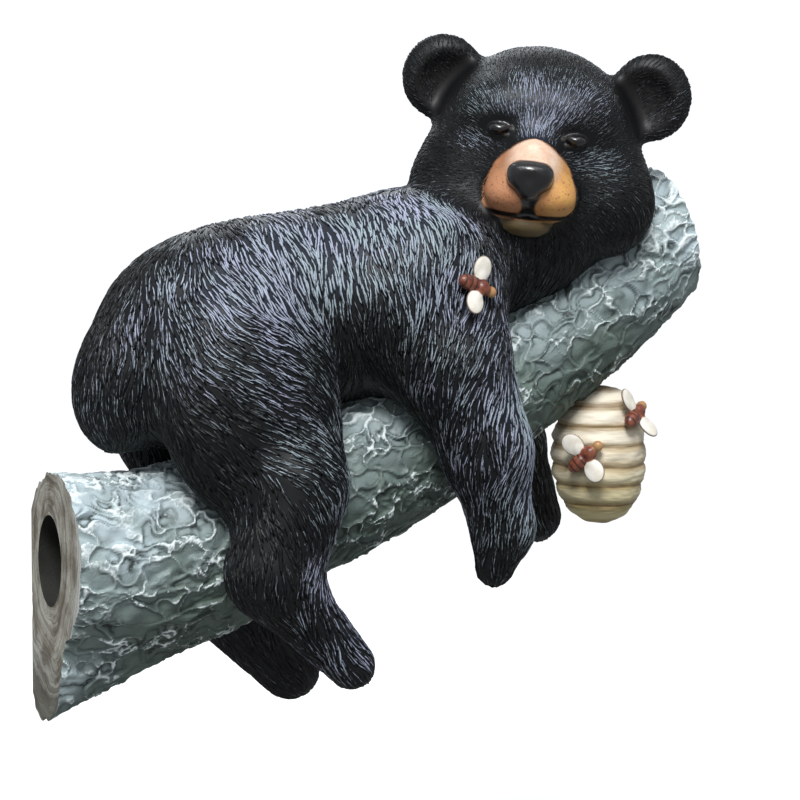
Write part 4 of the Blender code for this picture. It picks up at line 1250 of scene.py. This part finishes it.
def hive_outline():
    """Return the hive's half outline from bottom to top: radius and height."""
    rows = []
    for t in np.linspace(0, 1, HIVE_ROWS + 1):
        a = math.pi * t
        low = (1 - math.cos(a)) / 2
        swell = abs(math.sin(math.pi * HIVE_COILS * low)) ** COIL_ROUND
        full = HIVE_RADIUS * math.sin(a) ** 0.82 * (1.02 - 0.07 * low)
        radius = full + HIVE_COIL_RELIEF * (swell - 0.75) * math.sin(a)
        rows.append((radius, -math.cos(a) * HIVE_HALF_HEIGHT))
    return rows


def pressed(obj, carrier, gap, reach=14.0):
    """Push the points of one piece out of another, leaving a gap."""
    bm = bmesh.new()
    bm.from_mesh(carrier.data)
    skin = BVHTree.FromBMesh(bm)
    bm.free()
    p = points_of(obj)
    moved = 0
    for i, q in enumerate(p):
        at, normal, _, _ = skin.find_nearest(Vector(q) * MM, reach * MM)
        if at is None:
            continue
        height = (Vector(q) * MM - at).dot(normal) / MM
        if height < gap:
            p[i] = np.array(at) / MM + np.array(normal) * gap
            moved += 1
    set_points(obj, p)
    return moved


def wind_hive():
    """Spin the outline, roughen it and store each point's depth in its groove."""
    cx, cy, cz = HIVE_CENTRE
    bm = bmesh.new()
    line = [bm.verts.new(((cx + max(r, 0)) * MM, cy * MM, (cz + z) * MM))
            for r, z in hive_outline()]
    for a, b in zip(line[:-1], line[1:]):
        bm.edges.new((a, b))
    bmesh.ops.spin(bm, geom=bm.verts[:] + bm.edges[:], cent=(cx * MM, cy * MM, 0), axis=(0, 0, 1),
                   angle=2 * math.pi, steps=HIVE_STEPS, use_merge=True)
    bmesh.ops.remove_doubles(bm, verts=bm.verts[:], dist=1e-6)
    bmesh.ops.recalc_face_normals(bm, faces=bm.faces[:])
    hive = new_object("beehive_straw", bm)
    p = points_of(hive)
    q = p - np.array(HIVE_CENTRE)
    low = np.clip((q[:, 2] / HIVE_HALF_HEIGHT + 1) / 2, 0, 1)
    groove = 1 - np.abs(np.sin(math.pi * HIVE_COILS * low)) ** COIL_ROUND
    out = unit(q * np.array((1, 1, 0.3)))
    dent = 0.35 * ripple(p * np.array((1, 1, 3)), 22) + 0.15 * ripple(p * np.array((1, 1, 4)), 9)
    p += out * dent[:, None]
    p[:, 2] += 0.7 * ripple(p * np.array((1, 1, 0.2)), 45)
    set_points(hive, p)
    keep_value(hive, "groove", groove)
    keep_value(hive, "height", low)
    print("hive points pressed on the bark:", pressed(hive, branch, 0.3))
    shade_smooth(hive)
    return hive


hive = wind_hive()
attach(hive, "root")
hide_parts("beehive")
print("hive of", len(hive.data.polygons), "faces")

# %% [markdown]
# ## Three bees
#
# Each bee is three beads, abdomen, thorax and head, with two flat drop-shaped wings.
# They are stuck on as small castings.  They are moulded in the same clay as the cub and
# cast 12 % larger than their solids, which suits the photograph better, then set on the
# surface they sit on.  On the shoulder they stand a little higher, clear of the strokes.

# %% Mould the bees
BEE_BODY = [
    ball((-5.0, 0, 2.6), (5.8, 3.7, 3.4)),
    ball((2.9, 0, 2.9), (4.0, 3.6, 3.5), soft=0.8),
    ball((8.2, 0, 2.5), (2.8, 2.7, 2.6), soft=0.8),
]
BEE_WINGS = [
    ball((-0.6, 8.4, 4.4), (5.1, 6.3, 1.3), (12, 0, 8), 1.0),
    ball((-0.6, -8.4, 4.4), (5.1, 6.3, 1.3), (-12, 0, -8), 1.0),
    ball((0.4, 3.8, 3.7), (2.4, 3.4, 1.3), (12, 0, 8), 1.5),
    ball((0.4, -3.8, 3.7), (2.4, 3.4, 1.3), (-12, 0, -8), 1.5),
]
BEE_SIZE, BEE_VOXEL = 1.12, 0.42


def bee_distance(points):
    """Return the distance to a bee in its own frame: ahead, left and up."""
    return build_up(BEE_BODY + BEE_WINGS, points)


def hive_distance(points):
    """Return the distance to the hive's egg without its coils."""
    egg = ball(HIVE_CENTRE, (HIVE_RADIUS, HIVE_RADIUS, HIVE_HALF_HEIGHT))
    return distance_to(egg, points) - 0.6


def mould_bee(name, field, carrier, lift, near, heading):
    """Make one bee, store its paint masks and set it on the surface below it."""
    foot = np.array([near], float)
    for _ in range(12):
        foot = foot - slopes(field, foot) * field(foot)[:, None]
    up = slopes(field, foot)[0]
    ahead = np.array(heading, float)
    ahead -= up * (ahead @ up)
    ahead /= np.linalg.norm(ahead)
    axes = np.stack([ahead, np.cross(up, ahead), up], axis=1)
    bee = rough_shape(name + "_cast", [(BEE_BODY + BEE_WINGS, Matrix())])
    settled(skinned(bee, BEE_VOXEL), bee_distance, 3)
    p = points_of(bee)
    body = build_up(BEE_BODY, p)
    wings = [distance_to(wing, p) for wing in BEE_WINGS[:2]]
    flat = [((p - wing["at"]) @ wing["turn"])[:, :2] / wing["r"][:2] for wing in BEE_WINGS[:2]]
    rim = soft_step(np.minimum(*(np.linalg.norm(q, axis=1) for q in flat)), 0.88, 0.99)
    keep_value(bee, "wing", soft_step(body - np.minimum(*wings), 0.0, 0.5))
    keep_value(bee, "rim", rim)
    keep_value(bee, "ahead", p[:, 0])
    set_points(bee, p @ axes.T * BEE_SIZE + foot[0] + up * lift)
    pressed(bee, carrier, 0.3, 6.0)
    shade_smooth(bee)
    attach(bee, "root")
    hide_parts(name)
    return bee


BEES = {
    "bee_on_shoulder": (bear_distance, bear, 1.3, (212, -80, 188), (0.90, 0.0, -0.32)),
    "bee_on_hive_left": (hive_distance, hive, 0.5, (297, -30, 89), (0.84, 0.0, 0.54)),
    "bee_on_hive_right": (hive_distance, hive, 0.5, (328, -27, 110.5), (0.80, 0.0, 0.60)),
}
bees = [mould_bee(name, *where) for name, where in BEES.items()]
print("bees moulded:", len(bees), "of", len(bees[0].data.polygons), "faces")

# %% [markdown]
# ## Shared effects of the painter
#
# One painter finished all the pieces with the same three habits: pale paint dragged with
# an almost dry brush over whatever stands proud, colours that drift from one place to the
# next, and a faint grain left by the casting.  Each habit is a node group, so every paint
# places it with its own colours and scale.

# %% Helpers for paint
class Mixer:
    """Add nodes to one tree; values and colours may be numbers or other nodes' sockets."""

    def __init__(self, tree):
        self.tree = tree

    def fill(self, made, inputs):
        """Set or connect the inputs of a node and return the node."""
        for key, value in inputs.items():
            if isinstance(value, bpy.types.NodeSocket):
                self.tree.links.new(value, made.inputs[key])
            else:
                made.inputs[key].default_value = value
        return made

    def node(self, kind, inputs=None, **settings):
        """Add a shader node of a kind."""
        made = self.tree.nodes.new("ShaderNode" + kind)
        for key, value in settings.items():
            setattr(made, key, value)
        return self.fill(made, inputs or {})

    def place(self, group, inputs):
        """Place a shared effect and return its outputs."""
        made = self.tree.nodes.new("ShaderNodeGroup")
        made.node_tree = group
        return self.fill(made, {key: opaque(value) for key, value in inputs.items()}).outputs

    def calc(self, operation, a, b=0.0, c=0.0, clamp=False):
        """Return the result of a sum of up to three values."""
        made = self.node("Math", {0: a, 1: b, 2: c}, operation=operation, use_clamp=clamp)
        return made.outputs[0]

    def times(self, a, b):
        """Return a times b."""
        return self.calc('MULTIPLY', a, b)

    def minus(self, a, b):
        """Return a minus b."""
        return self.calc('SUBTRACT', a, b)

    def times_plus(self, a, b, c):
        """Return a times b plus c."""
        return self.calc('MULTIPLY_ADD', a, b, c)

    def vector(self, operation, inputs):
        """Return the result of a sum of vectors."""
        return self.node("VectorMath", inputs, operation=operation).outputs[0]

    def ease(self, value, low, high):
        """Return 0 at low and 1 at high, easing between them."""
        inputs = {"Value": value, "From Min": low, "From Max": high}
        return self.node("MapRange", inputs, interpolation_type='SMOOTHSTEP').outputs[0]

    def mix(self, factor, a, b):
        """Mix two colours."""
        inputs = {0: factor, 6: opaque(a), 7: opaque(b)}
        return self.node("Mix", inputs, data_type='RGBA').outputs[2]

    def mix_value(self, factor, a, b):
        """Mix two values."""
        return self.node("Mix", {0: factor, 2: a, 3: b}, data_type='FLOAT').outputs[0]

    def noise(self, position, scale, detail=2.0, rough=0.5):
        """Return a noise value."""
        inputs = {"Vector": position, "Scale": scale, "Detail": detail, "Roughness": rough}
        return self.node("TexNoise", inputs).outputs["Fac"]

    def cells(self, position, scale, feature='F1', dimensions='3D'):
        """Return the outputs of a cell texture."""
        return self.node("TexVoronoi", {"Vector": position, "Scale": scale}, feature=feature,
                         voronoi_dimensions=dimensions).outputs

    def part(self, vector, axis):
        """Return one part of a vector."""
        return self.node("SeparateXYZ", {0: vector}).outputs[axis]

    def stored(self, *names):
        """Return values stored on the mesh: one, or a list for several names."""
        values = [self.node("Attribute", attribute_name=name).outputs["Fac"] for name in names]
        return values if len(names) > 1 else values[0]


def opaque(value):
    """Give a colour of three numbers its alpha and leave everything else alone."""
    return (*value, 1.0) if isinstance(value, tuple) and len(value) == 3 else value


def effect(name, inputs, outputs):
    """Start a shared effect with named inputs and outputs."""
    tree = bpy.data.node_groups.new(name, 'ShaderNodeTree')
    for title, kind, value in inputs:
        made = tree.interface.new_socket(title, in_out='INPUT', socket_type='NodeSocket' + kind)
        if value is not None:
            made.default_value = value
    for title, kind in outputs:
        tree.interface.new_socket(title, in_out='OUTPUT', socket_type='NodeSocket' + kind)
    given, out = tree.nodes.new("NodeGroupInput"), tree.nodes.new("NodeGroupOutput")
    return Mixer(tree), given.outputs, out.inputs


print("paint helpers are ready")

# %% Make the shared effects
GREY = (0.5, 0.5, 0.5, 1.0)


def make_dry_brush():
    """Drag a paint over everything that stands proud."""
    inputs = [("Base Color", "Color", GREY), ("Paint Color", "Color", GREY),
              ("Relief", "Float", 0.5), ("Amount", "Float", 0.5),
              ("Position", "Vector", None), ("Grain", "Float", 800.0)]
    m, given, out = effect("dry brush", inputs, [("Color", "Color"), ("Mask", "Float")])
    grain = m.noise(given["Position"], given["Grain"], 2.0, 0.6)
    patch = m.noise(given["Position"], m.times(given["Grain"], 0.08), 2.0)
    level = m.times_plus(m.minus(grain, 0.5), 0.5, given["Relief"])
    level = m.times_plus(m.minus(patch, 0.5), 0.6, level)
    edge = m.minus(1.05, given["Amount"])
    mask = m.ease(m.minus(level, edge), -0.10, 0.28)
    m.tree.links.new(m.mix(mask, given["Base Color"], given["Paint Color"]), out["Color"])
    m.tree.links.new(mask, out["Mask"])
    return m.tree


def make_drift():
    """Let a colour drift slowly into a second one."""
    inputs = [("First Color", "Color", GREY), ("Second Color", "Color", GREY),
              ("Position", "Vector", None), ("Scale", "Float", 40.0)]
    m, given, out = effect("colour drift", inputs, [("Color", "Color")])
    share = m.ease(m.noise(given["Position"], given["Scale"], 3.0), 0.34, 0.66)
    m.tree.links.new(m.mix(share, given["First Color"], given["Second Color"]), out["Color"])
    return m.tree


def make_casting_grain():
    """Give the faint grain and stray pits of a casting."""
    inputs = [("Position", "Vector", None), ("Scale", "Float", 900.0)]
    m, given, out = effect("casting grain", inputs, [("Height", "Float")])
    fine = m.noise(given["Position"], given["Scale"], 3.0, 0.6)
    pits = m.cells(given["Position"], m.times(given["Scale"], 0.35))["Distance"]
    m.tree.links.new(m.times_plus(m.ease(pits, 0.0, 0.22), 0.5, fine), out["Height"])
    return m.tree


DRY_BRUSH, DRIFT, CASTING_GRAIN = make_dry_brush(), make_drift(), make_casting_grain()


def new_paint(name, specular):
    """Start a paint and return it with its mixer, its shader and the object position."""
    paint = bpy.data.materials.new(name)
    paint.use_nodes = True
    m = Mixer(paint.node_tree)
    shader = m.tree.nodes["Principled BSDF"]
    shader.inputs["Specular IOR Level"].default_value = specular
    return paint, m, shader, m.node("TexCoord").outputs["Object"]


def drift(m, position, scale, first, second):
    """Place the colour drift and return its colour."""
    inputs = {"First Color": first, "Second Color": second, "Position": position, "Scale": scale}
    return m.place(DRIFT, inputs)["Color"]


def casting_grain(m, position, scale):
    """Place the casting grain and return its height."""
    return m.place(CASTING_GRAIN, {"Position": position, "Scale": scale})["Height"]


def dry_brushed(m, position, grain, base, paint, relief, amount):
    """Place the dry brush and return its colour and its mask."""
    coat = m.place(DRY_BRUSH, {"Base Color": base, "Paint Color": paint, "Relief": relief,
                               "Amount": amount, "Position": position, "Grain": grain})
    return coat["Color"], coat["Mask"]


def finish_paint(m, shader, colour, rough, height, depth):
    """Connect a paint's colour, roughness and relief; depth is the relief's height in metres."""
    bump = m.node("Bump", {"Height": height, "Distance": depth, "Strength": 1.0})
    m.fill(shader, {"Base Color": colour, "Roughness": rough, "Normal": bump.outputs["Normal"]})


print("shared effects:", ", ".join(g.name for g in (DRY_BRUSH, DRIFT, CASTING_GRAIN)))

# %% [markdown]
# ## The cub's paint
#
# Semi-gloss black goes on first, then blue-grey is dragged over the strokes of the coat,
# heaviest where the light from above falls, so it is partly a painted highlight and a
# painted blue sheen.
# The hairs inside a tuft are finer than any mesh could carry, so they are stretched cells
# laid along the tuft's own map, and both the colour and the relief follow them.  Snout,
# nose, eyes and ears lie in their stored masks.

# %% Mix the coat paint
HAIR_WIDTH, HAIR_LENGTH = 0.75, 7.0
GOLDEN_FROM = (0.240, 0.258)


def hair_pattern(m):
    """Return the relief of the fine hairs and a tone that differs from hair to hair."""
    map_point = m.node("UVMap", uv_map="hairs").outputs["UV"]
    sway = m.minus(m.noise(map_point, 1.5, 1.0), 0.5)
    across = m.times_plus(m.part(map_point, "X"), 10.0 / HAIR_WIDTH, m.times(sway, 1.3))
    along = m.times(m.part(map_point, "Y"), 10.0 / HAIR_LENGTH)
    point = m.node("CombineXYZ", {0: across, 1: along}).outputs[0]
    border = m.cells(point, 1.0, 'DISTANCE_TO_EDGE', '2D')["Distance"]
    shades = m.cells(point, 1.0, 'F1', '2D')["Color"]
    tone = m.node("SeparateColor", {0: shades}).outputs[0]
    return m.ease(border, 0.0, 0.30), tone


def snout_colour(m, position, wrinkle):
    """Return the warm snout colour: pale on the bridge, orange-tan and golden on the lips."""
    bridge = drift(m, position, 120.0, (0.78, 0.52, 0.38), (0.88, 0.68, 0.53))
    golden = m.ease(m.part(position, "X"), *GOLDEN_FROM)
    lips = m.mix(golden, (0.49, 0.235, 0.120), (0.66, 0.36, 0.11))
    lips = drift(m, position, 110.0, lips, m.mix(0.4, lips, (0.50, 0.20, 0.08)))
    speck = m.ease(m.noise(position, 420.0, 3.0, 0.7), 0.56, 0.66)
    lips = m.mix(m.times(speck, 0.6), lips, (0.15, 0.055, 0.025))
    tan = m.mix(m.ease(m.stored("bridge"), 0.05, 0.95), lips, bridge)
    blush = m.ease(m.noise(position, 260.0, 3.0, 0.6), 0.50, 0.68)
    tan = m.mix(m.times(blush, 0.30), tan, (0.62, 0.24, 0.14))
    tan = m.mix(m.times(m.minus(1.0, wrinkle), 0.10), tan, (0.22, 0.08, 0.04))
    tan = m.mix(m.ease(m.stored("tan"), 0.98, 0.45), tan, (0.20, 0.085, 0.04))
    return m.mix(m.stored("chin"), tan, (0.12, 0.085, 0.04))


def mix_coat_paint():
    """Mix the cub's paint."""
    paint, m, shader, position = new_paint("painted coat", 0.32)
    shader.inputs["Coat Roughness"].default_value = 0.20
    hair, tone = hair_pattern(m)
    tuft, drag_and_highlight = m.stored("tuft", "drag_and_highlight")
    relief = m.times_plus(hair, 0.22, m.times_plus(tone, 0.16, -0.2))
    relief = m.calc('ADD', relief, tuft)
    # The blue-grey pale is partly a painted highlight and a painted blue sheen of the light from
    # above.
    pale = drift(m, position, 28.0, (0.43, 0.46, 0.61), (0.38, 0.47, 0.51))
    pale = m.mix(m.ease(tuft, 0.30, 1.0), (0.09, 0.11, 0.15), pale)
    pale = m.mix(m.ease(drag_and_highlight, 0.06, 0.45), (0.085, 0.095, 0.085), pale)
    black = m.mix(hair, (0.0015, 0.002, 0.003), (0.006, 0.007, 0.008))
    # Painted sheen: the black turns bluer where the drag, partly a painted highlight, is strong.
    black = m.mix(m.ease(drag_and_highlight, 0.25, 1.0), black, (0.009, 0.013, 0.023))
    amount = m.times_plus(m.calc('POWER', drag_and_highlight, 1.3), 0.55, 0.03)
    coat, dragged = dry_brushed(m, position, 900.0, black, pale, relief, amount)
    wrinkle = m.ease(m.cells(position, 700.0, 'DISTANCE_TO_EDGE')["Distance"], 0.0, 0.22)
    tan, nose, eye, ear, mouth = m.stored("tan", "nose", "eye", "ear", "mouth")
    ragged = m.times_plus(m.minus(m.noise(position, 700.0), 0.5), 0.9, tan)
    tan = m.ease(ragged, 0.3, 0.75)
    colour = m.mix(tan, coat, snout_colour(m, position, wrinkle))
    colour = m.mix(mouth, colour, (0.008, 0.005, 0.004))
    colour = m.mix(ear, colour, (0.008, 0.007, 0.007))
    colour = m.mix(m.stored("lid"), colour, (0.045, 0.040, 0.034))
    gloss = m.calc('MAXIMUM', nose, eye)
    colour = m.mix(gloss, colour, (0.004, 0.004, 0.005))
    grain = casting_grain(m, position, 1100.0)
    rough = m.times_plus(grain, 0.10, 0.38)
    rough = m.mix_value(dragged, rough, 0.5)
    rough = m.mix_value(tan, rough, 0.52)
    rough = m.mix_value(nose, rough, 0.30)
    rough = m.mix_value(eye, rough, 0.30)
    m.tree.links.new(gloss, shader.inputs["Coat Weight"])
    smooth = m.minus(1.0, m.calc('MAXIMUM', gloss, m.calc('MAXIMUM', ear, tan)))
    height = m.times(hair, m.times(smooth, 0.45))
    height = m.times_plus(m.times(wrinkle, tan), 0.12, height)
    height = m.times_plus(grain, m.times_plus(gloss, -0.08, 0.08), height)
    finish_paint(m, shader, colour, rough, height, 0.00042)
    return paint


coat_paint = mix_coat_paint()
for piece in [bear, *strokes]:
    piece.data.materials.append(coat_paint)
print("coat paint nodes:", len(coat_paint.node_tree.nodes))

# %% [markdown]
# ## The branch's paints
#
# The bark is painted dark green-grey in its folds, partly a wash and partly painted shade
# beside the ridges, blue-grey on its plates and almost white where the brush dragged.  It
# is lighter towards both ends, and lighter on top and darker green underneath as painted
# light from above.  The sawn ends are grey wood.  A noise of the distance from the pith,
# measured in shares of the outline, gives rings that follow the outline, and a pale streaky
# rim lies outside them, with painted shade along the bottom.  The hollow is painted
# near-black as painted shade over the raw casting, and the flat back is the lighter raw casting.

# %% Mix the bark paint
BACK_FROM = (0.036, 0.042)


def mix_bark_paint():
    """Mix the bark's paint from the stored ridges and a finer crumple, with painted shade in the
    folds and painted light on top.
    """
    paint, m, shader, position = new_paint("painted bark", 0.4)
    ridge, painted_top_light, along = m.stored("ridge", "painted_top_light", "along")
    swirl = m.node("TexNoise", {"Vector": position, "Scale": 160.0, "Detail": 2.0})
    bent = m.vector('SCALE', {0: swirl.outputs["Color"], 3: 0.012})
    bent = m.vector('ADD', {0: position, 1: bent})
    curl = m.cells(bent, 210.0, 'DISTANCE_TO_EDGE')["Distance"]
    curl = m.minus(1.0, m.ease(curl, 0.02, 0.20))
    fine = m.noise(position, 520.0, 4.0, 0.62)
    crest = m.times_plus(fine, 0.22, m.times(ridge, 0.85))
    relief = m.times_plus(curl, 0.10, crest)
    # Painted top light: the bark is lighter where it faces up, and also lighter towards both ends.
    ends = m.calc('ADD', m.ease(along, 0.70, 1.0), m.ease(along, 0.22, 0.02))
    light = m.times_plus(ends, 0.45, m.times(painted_top_light, 0.85))
    plate = m.mix(m.ease(light, 0.20, 1.0), (0.085, 0.122, 0.104), (0.48, 0.58, 0.62))
    plate = drift(m, position, 35.0, plate, m.mix(0.5, plate, (0.13, 0.18, 0.145)))
    # The fold colour is partly a wash and partly painted shade beside the ridges.
    fold = m.mix(light, (0.004, 0.009, 0.006), (0.016, 0.027, 0.025))
    washed_and_shaded = m.calc('MULTIPLY', m.stored("wash_and_shade"), m.ease(fine, 0.25, 0.50), clamp=True)
    base = m.mix(washed_and_shaded, plate, fold)
    amount = m.times_plus(light, 0.30, 0.28)
    coat, dragged = dry_brushed(m, position, 650.0, base, (0.74, 0.82, 0.83), crest, amount)
    rough = m.mix_value(dragged, m.times_plus(fine, 0.25, 0.42), 0.6)
    finish_paint(m, shader, coat, rough, relief, 0.0007)
    return paint


def mix_sawn_paint(name, pith, way, reach):
    """Mix the grey of a sawn end: rings that follow its outline, a pale streaky rim and painted
    shade towards the bottom.
    """
    paint, m, shader, position = new_paint(name, 0.3)
    lean = Vector(way).to_track_quat('X', 'Z').to_euler()
    inputs = {"Vector": position, "Location": [c * MM for c in pith], "Rotation": lean,
              "Scale": (1.0, reach[0] * MM, reach[1] * MM)}
    flat = m.node("Mapping", inputs, vector_type='TEXTURE').outputs[0]
    bend = m.node("TexNoise", {"Vector": position, "Scale": 30.0, "Detail": 3.0}).outputs["Color"]
    bend = m.vector('SUBTRACT', {0: bend, 1: (0.5, 0.5, 0.5)})
    bent = m.vector('MULTIPLY_ADD', {0: bend, 1: (0.0, 0.30, 0.30), 2: flat})
    bent = m.vector('MULTIPLY', {0: bent, 1: (0.0, 1.0, 1.0)})
    out = m.node("VectorMath", {0: bent}, operation='LENGTH').outputs["Value"]
    fine = m.noise(position, 600.0, 3.0, 0.6)
    patch = m.noise(position, 60.0, 3.0, 0.55)
    ring = m.node("CombineXYZ", {0: out, 1: m.times(patch, 0.05)}).outputs[0]
    ring = m.noise(ring, 26.0, 3.0, 0.7)
    high = m.part(flat, "Z")
    wood = m.mix(m.ease(patch, 0.38, 0.66), (0.19, 0.165, 0.125), (0.46, 0.45, 0.39))
    rim = m.times(m.ease(out, 0.62, 0.88), m.ease(high, -0.95, -0.20))
    wood = m.mix(rim, wood, (0.66, 0.67, 0.64))
    # Painted shade: the sawn face darkens towards its bottom.
    wood = m.mix(m.times(m.ease(high, -0.45, -0.95), 0.7), wood, (0.045, 0.045, 0.035))
    colour = m.mix(m.times(m.ease(ring, 0.46, 0.60), 0.45), wood, (0.075, 0.068, 0.050))
    colour = m.mix(m.times(m.ease(ring, 0.50, 0.36), 0.35), colour, (0.60, 0.60, 0.55))
    height = m.times_plus(ring, -0.9, m.times(fine, 0.4))
    finish_paint(m, shader, colour, m.times_plus(fine, 0.2, 0.55), height, 0.0008)
    return paint


def mix_hollow_paint():
    """Mix the raw casting: near-black in the hollow as painted shade, and lighter on the flat back.
    """
    paint, m, shader, position = new_paint("raw casting with painted hollow shade", 0.3)
    grain = casting_grain(m, position, 500.0)
    # Painted shade: the hollow's near-black.
    colour = drift(m, position, 60.0, (0.009, 0.009, 0.007), (0.020, 0.020, 0.016))
    colour = m.mix(m.times(grain, 0.25), colour, (0.035, 0.037, 0.032))
    behind = m.ease(m.part(position, "Y"), *BACK_FROM)
    colour = m.mix(behind, colour, m.mix(grain, (0.10, 0.125, 0.115), (0.17, 0.20, 0.19)))
    finish_paint(m, shader, colour, m.times_plus(grain, 0.15, 0.6), grain, 0.0003)
    return paint


for paint in (mix_bark_paint(), mix_sawn_paint("sawn foot", (0, 10, 45), (1, 0, 0), (58, 90)),
              mix_sawn_paint("sawn end", *END_CUT, (42, 42)), mix_hollow_paint()):
    branch.data.materials.append(paint)
print("branch paints:", ", ".join(m.name for m in branch.data.materials))

# %% [markdown]
# ## The hive's and the bees' paints
#
# The straw is cream, with ochre in the grooves that is partly a wash and partly painted
# shade under each overhanging coil, and fine level lines brushed round it, more olive
# towards the bottom.  The bees are copper-brown with dark bands, and their ivory wings
# have a thin dark outline.

# %% Mix the straw and bee paints
def mix_straw_paint():
    """Mix the hive's paint."""
    paint, m, shader, position = new_paint("painted straw", 0.4)
    groove, high = m.stored("groove", "height")
    flat = m.node("Mapping", {"Vector": position, "Scale": (0.10, 0.10, 1.0)}).outputs[0]
    straw = m.noise(flat, 900.0, 3.0, 0.6)
    broad = m.noise(flat, 260.0, 2.0, 0.5)
    cream = m.mix(m.ease(high, 0.05, 0.60), (0.42, 0.35, 0.13), (0.57, 0.47, 0.31))
    cream = m.mix(m.ease(high, 0.74, 0.95), cream, (0.36, 0.28, 0.20))
    cream = drift(m, position, 55.0, cream, m.mix(0.5, cream, (0.36, 0.26, 0.16)))
    # The dark ochre in the grooves is partly a wash and partly painted shade under each coil.
    wash_and_shade = m.times_plus(m.minus(broad, 0.5), 0.9, groove)
    base = m.mix(m.ease(wash_and_shade, 0.45, 1.0), cream, (0.20, 0.125, 0.05))
    base = m.mix(m.times(m.ease(straw, 0.52, 0.70), 0.40), base, (0.20, 0.125, 0.045))
    crest = m.times_plus(straw, 0.35, m.minus(0.75, groove))
    pale = m.mix(m.ease(high, 0.0, 0.7), (0.62, 0.54, 0.29), (0.82, 0.75, 0.61))
    coat, _ = dry_brushed(m, flat, 700.0, base, pale, crest, 0.43)
    height = m.times_plus(broad, 0.6, m.times(straw, 0.5))
    finish_paint(m, shader, coat, m.times_plus(straw, 0.2, 0.38), height, 0.0005)
    return paint


def mix_bee_paint():
    """Mix the bees' paint: banded copper body and outlined ivory wings."""
    paint, m, shader, position = new_paint("painted bee", 0.5)
    wing, rim, ahead = m.stored("wing", "rim", "ahead")
    band = m.calc('SINE', m.times(ahead, 2.1))
    band = m.times(m.ease(band, 0.35, 0.85), m.ease(ahead, -1.2, -2.0))
    copper = drift(m, position, 260.0, (0.13, 0.033, 0.024), (0.27, 0.085, 0.045))
    body = m.mix(m.ease(ahead, 5.0, 8.0), copper, (0.46, 0.25, 0.11))
    body = m.mix(band, body, (0.06, 0.022, 0.015))
    ivory = drift(m, position, 220.0, (0.86, 0.83, 0.76), (0.78, 0.73, 0.62))
    ivory = m.mix(rim, ivory, (0.16, 0.10, 0.07))
    grain = casting_grain(m, position, 1500.0)
    rough = m.mix_value(wing, m.times_plus(grain, 0.1, 0.24), 0.5)
    finish_paint(m, shader, m.mix(wing, body, ivory), rough, grain, 0.00008)
    return paint


hive.data.materials.append(mix_straw_paint())
bee_paint = mix_bee_paint()
for bee in bees:
    bee.data.materials.append(bee_paint)
print("paints in all:", len(bpy.data.materials))

# %% [markdown]
# ## The sizes
#
# Both boxes are kept, the imported model's and the finished pieces', and the moves of their
# corners are printed. The finished pieces may not grow out of the imported model's box, so
# both boxes are kept.

# %% Compare the boxes
NEW_BOX = [list(corner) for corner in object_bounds()]
for low_or_high, old, new in zip(("lowest", "highest"), CAD_BOX, NEW_BOX):
    print(low_or_high, "corner moved by mm:", [round((b - a) / MM, 2) for a, b in zip(old, new)])
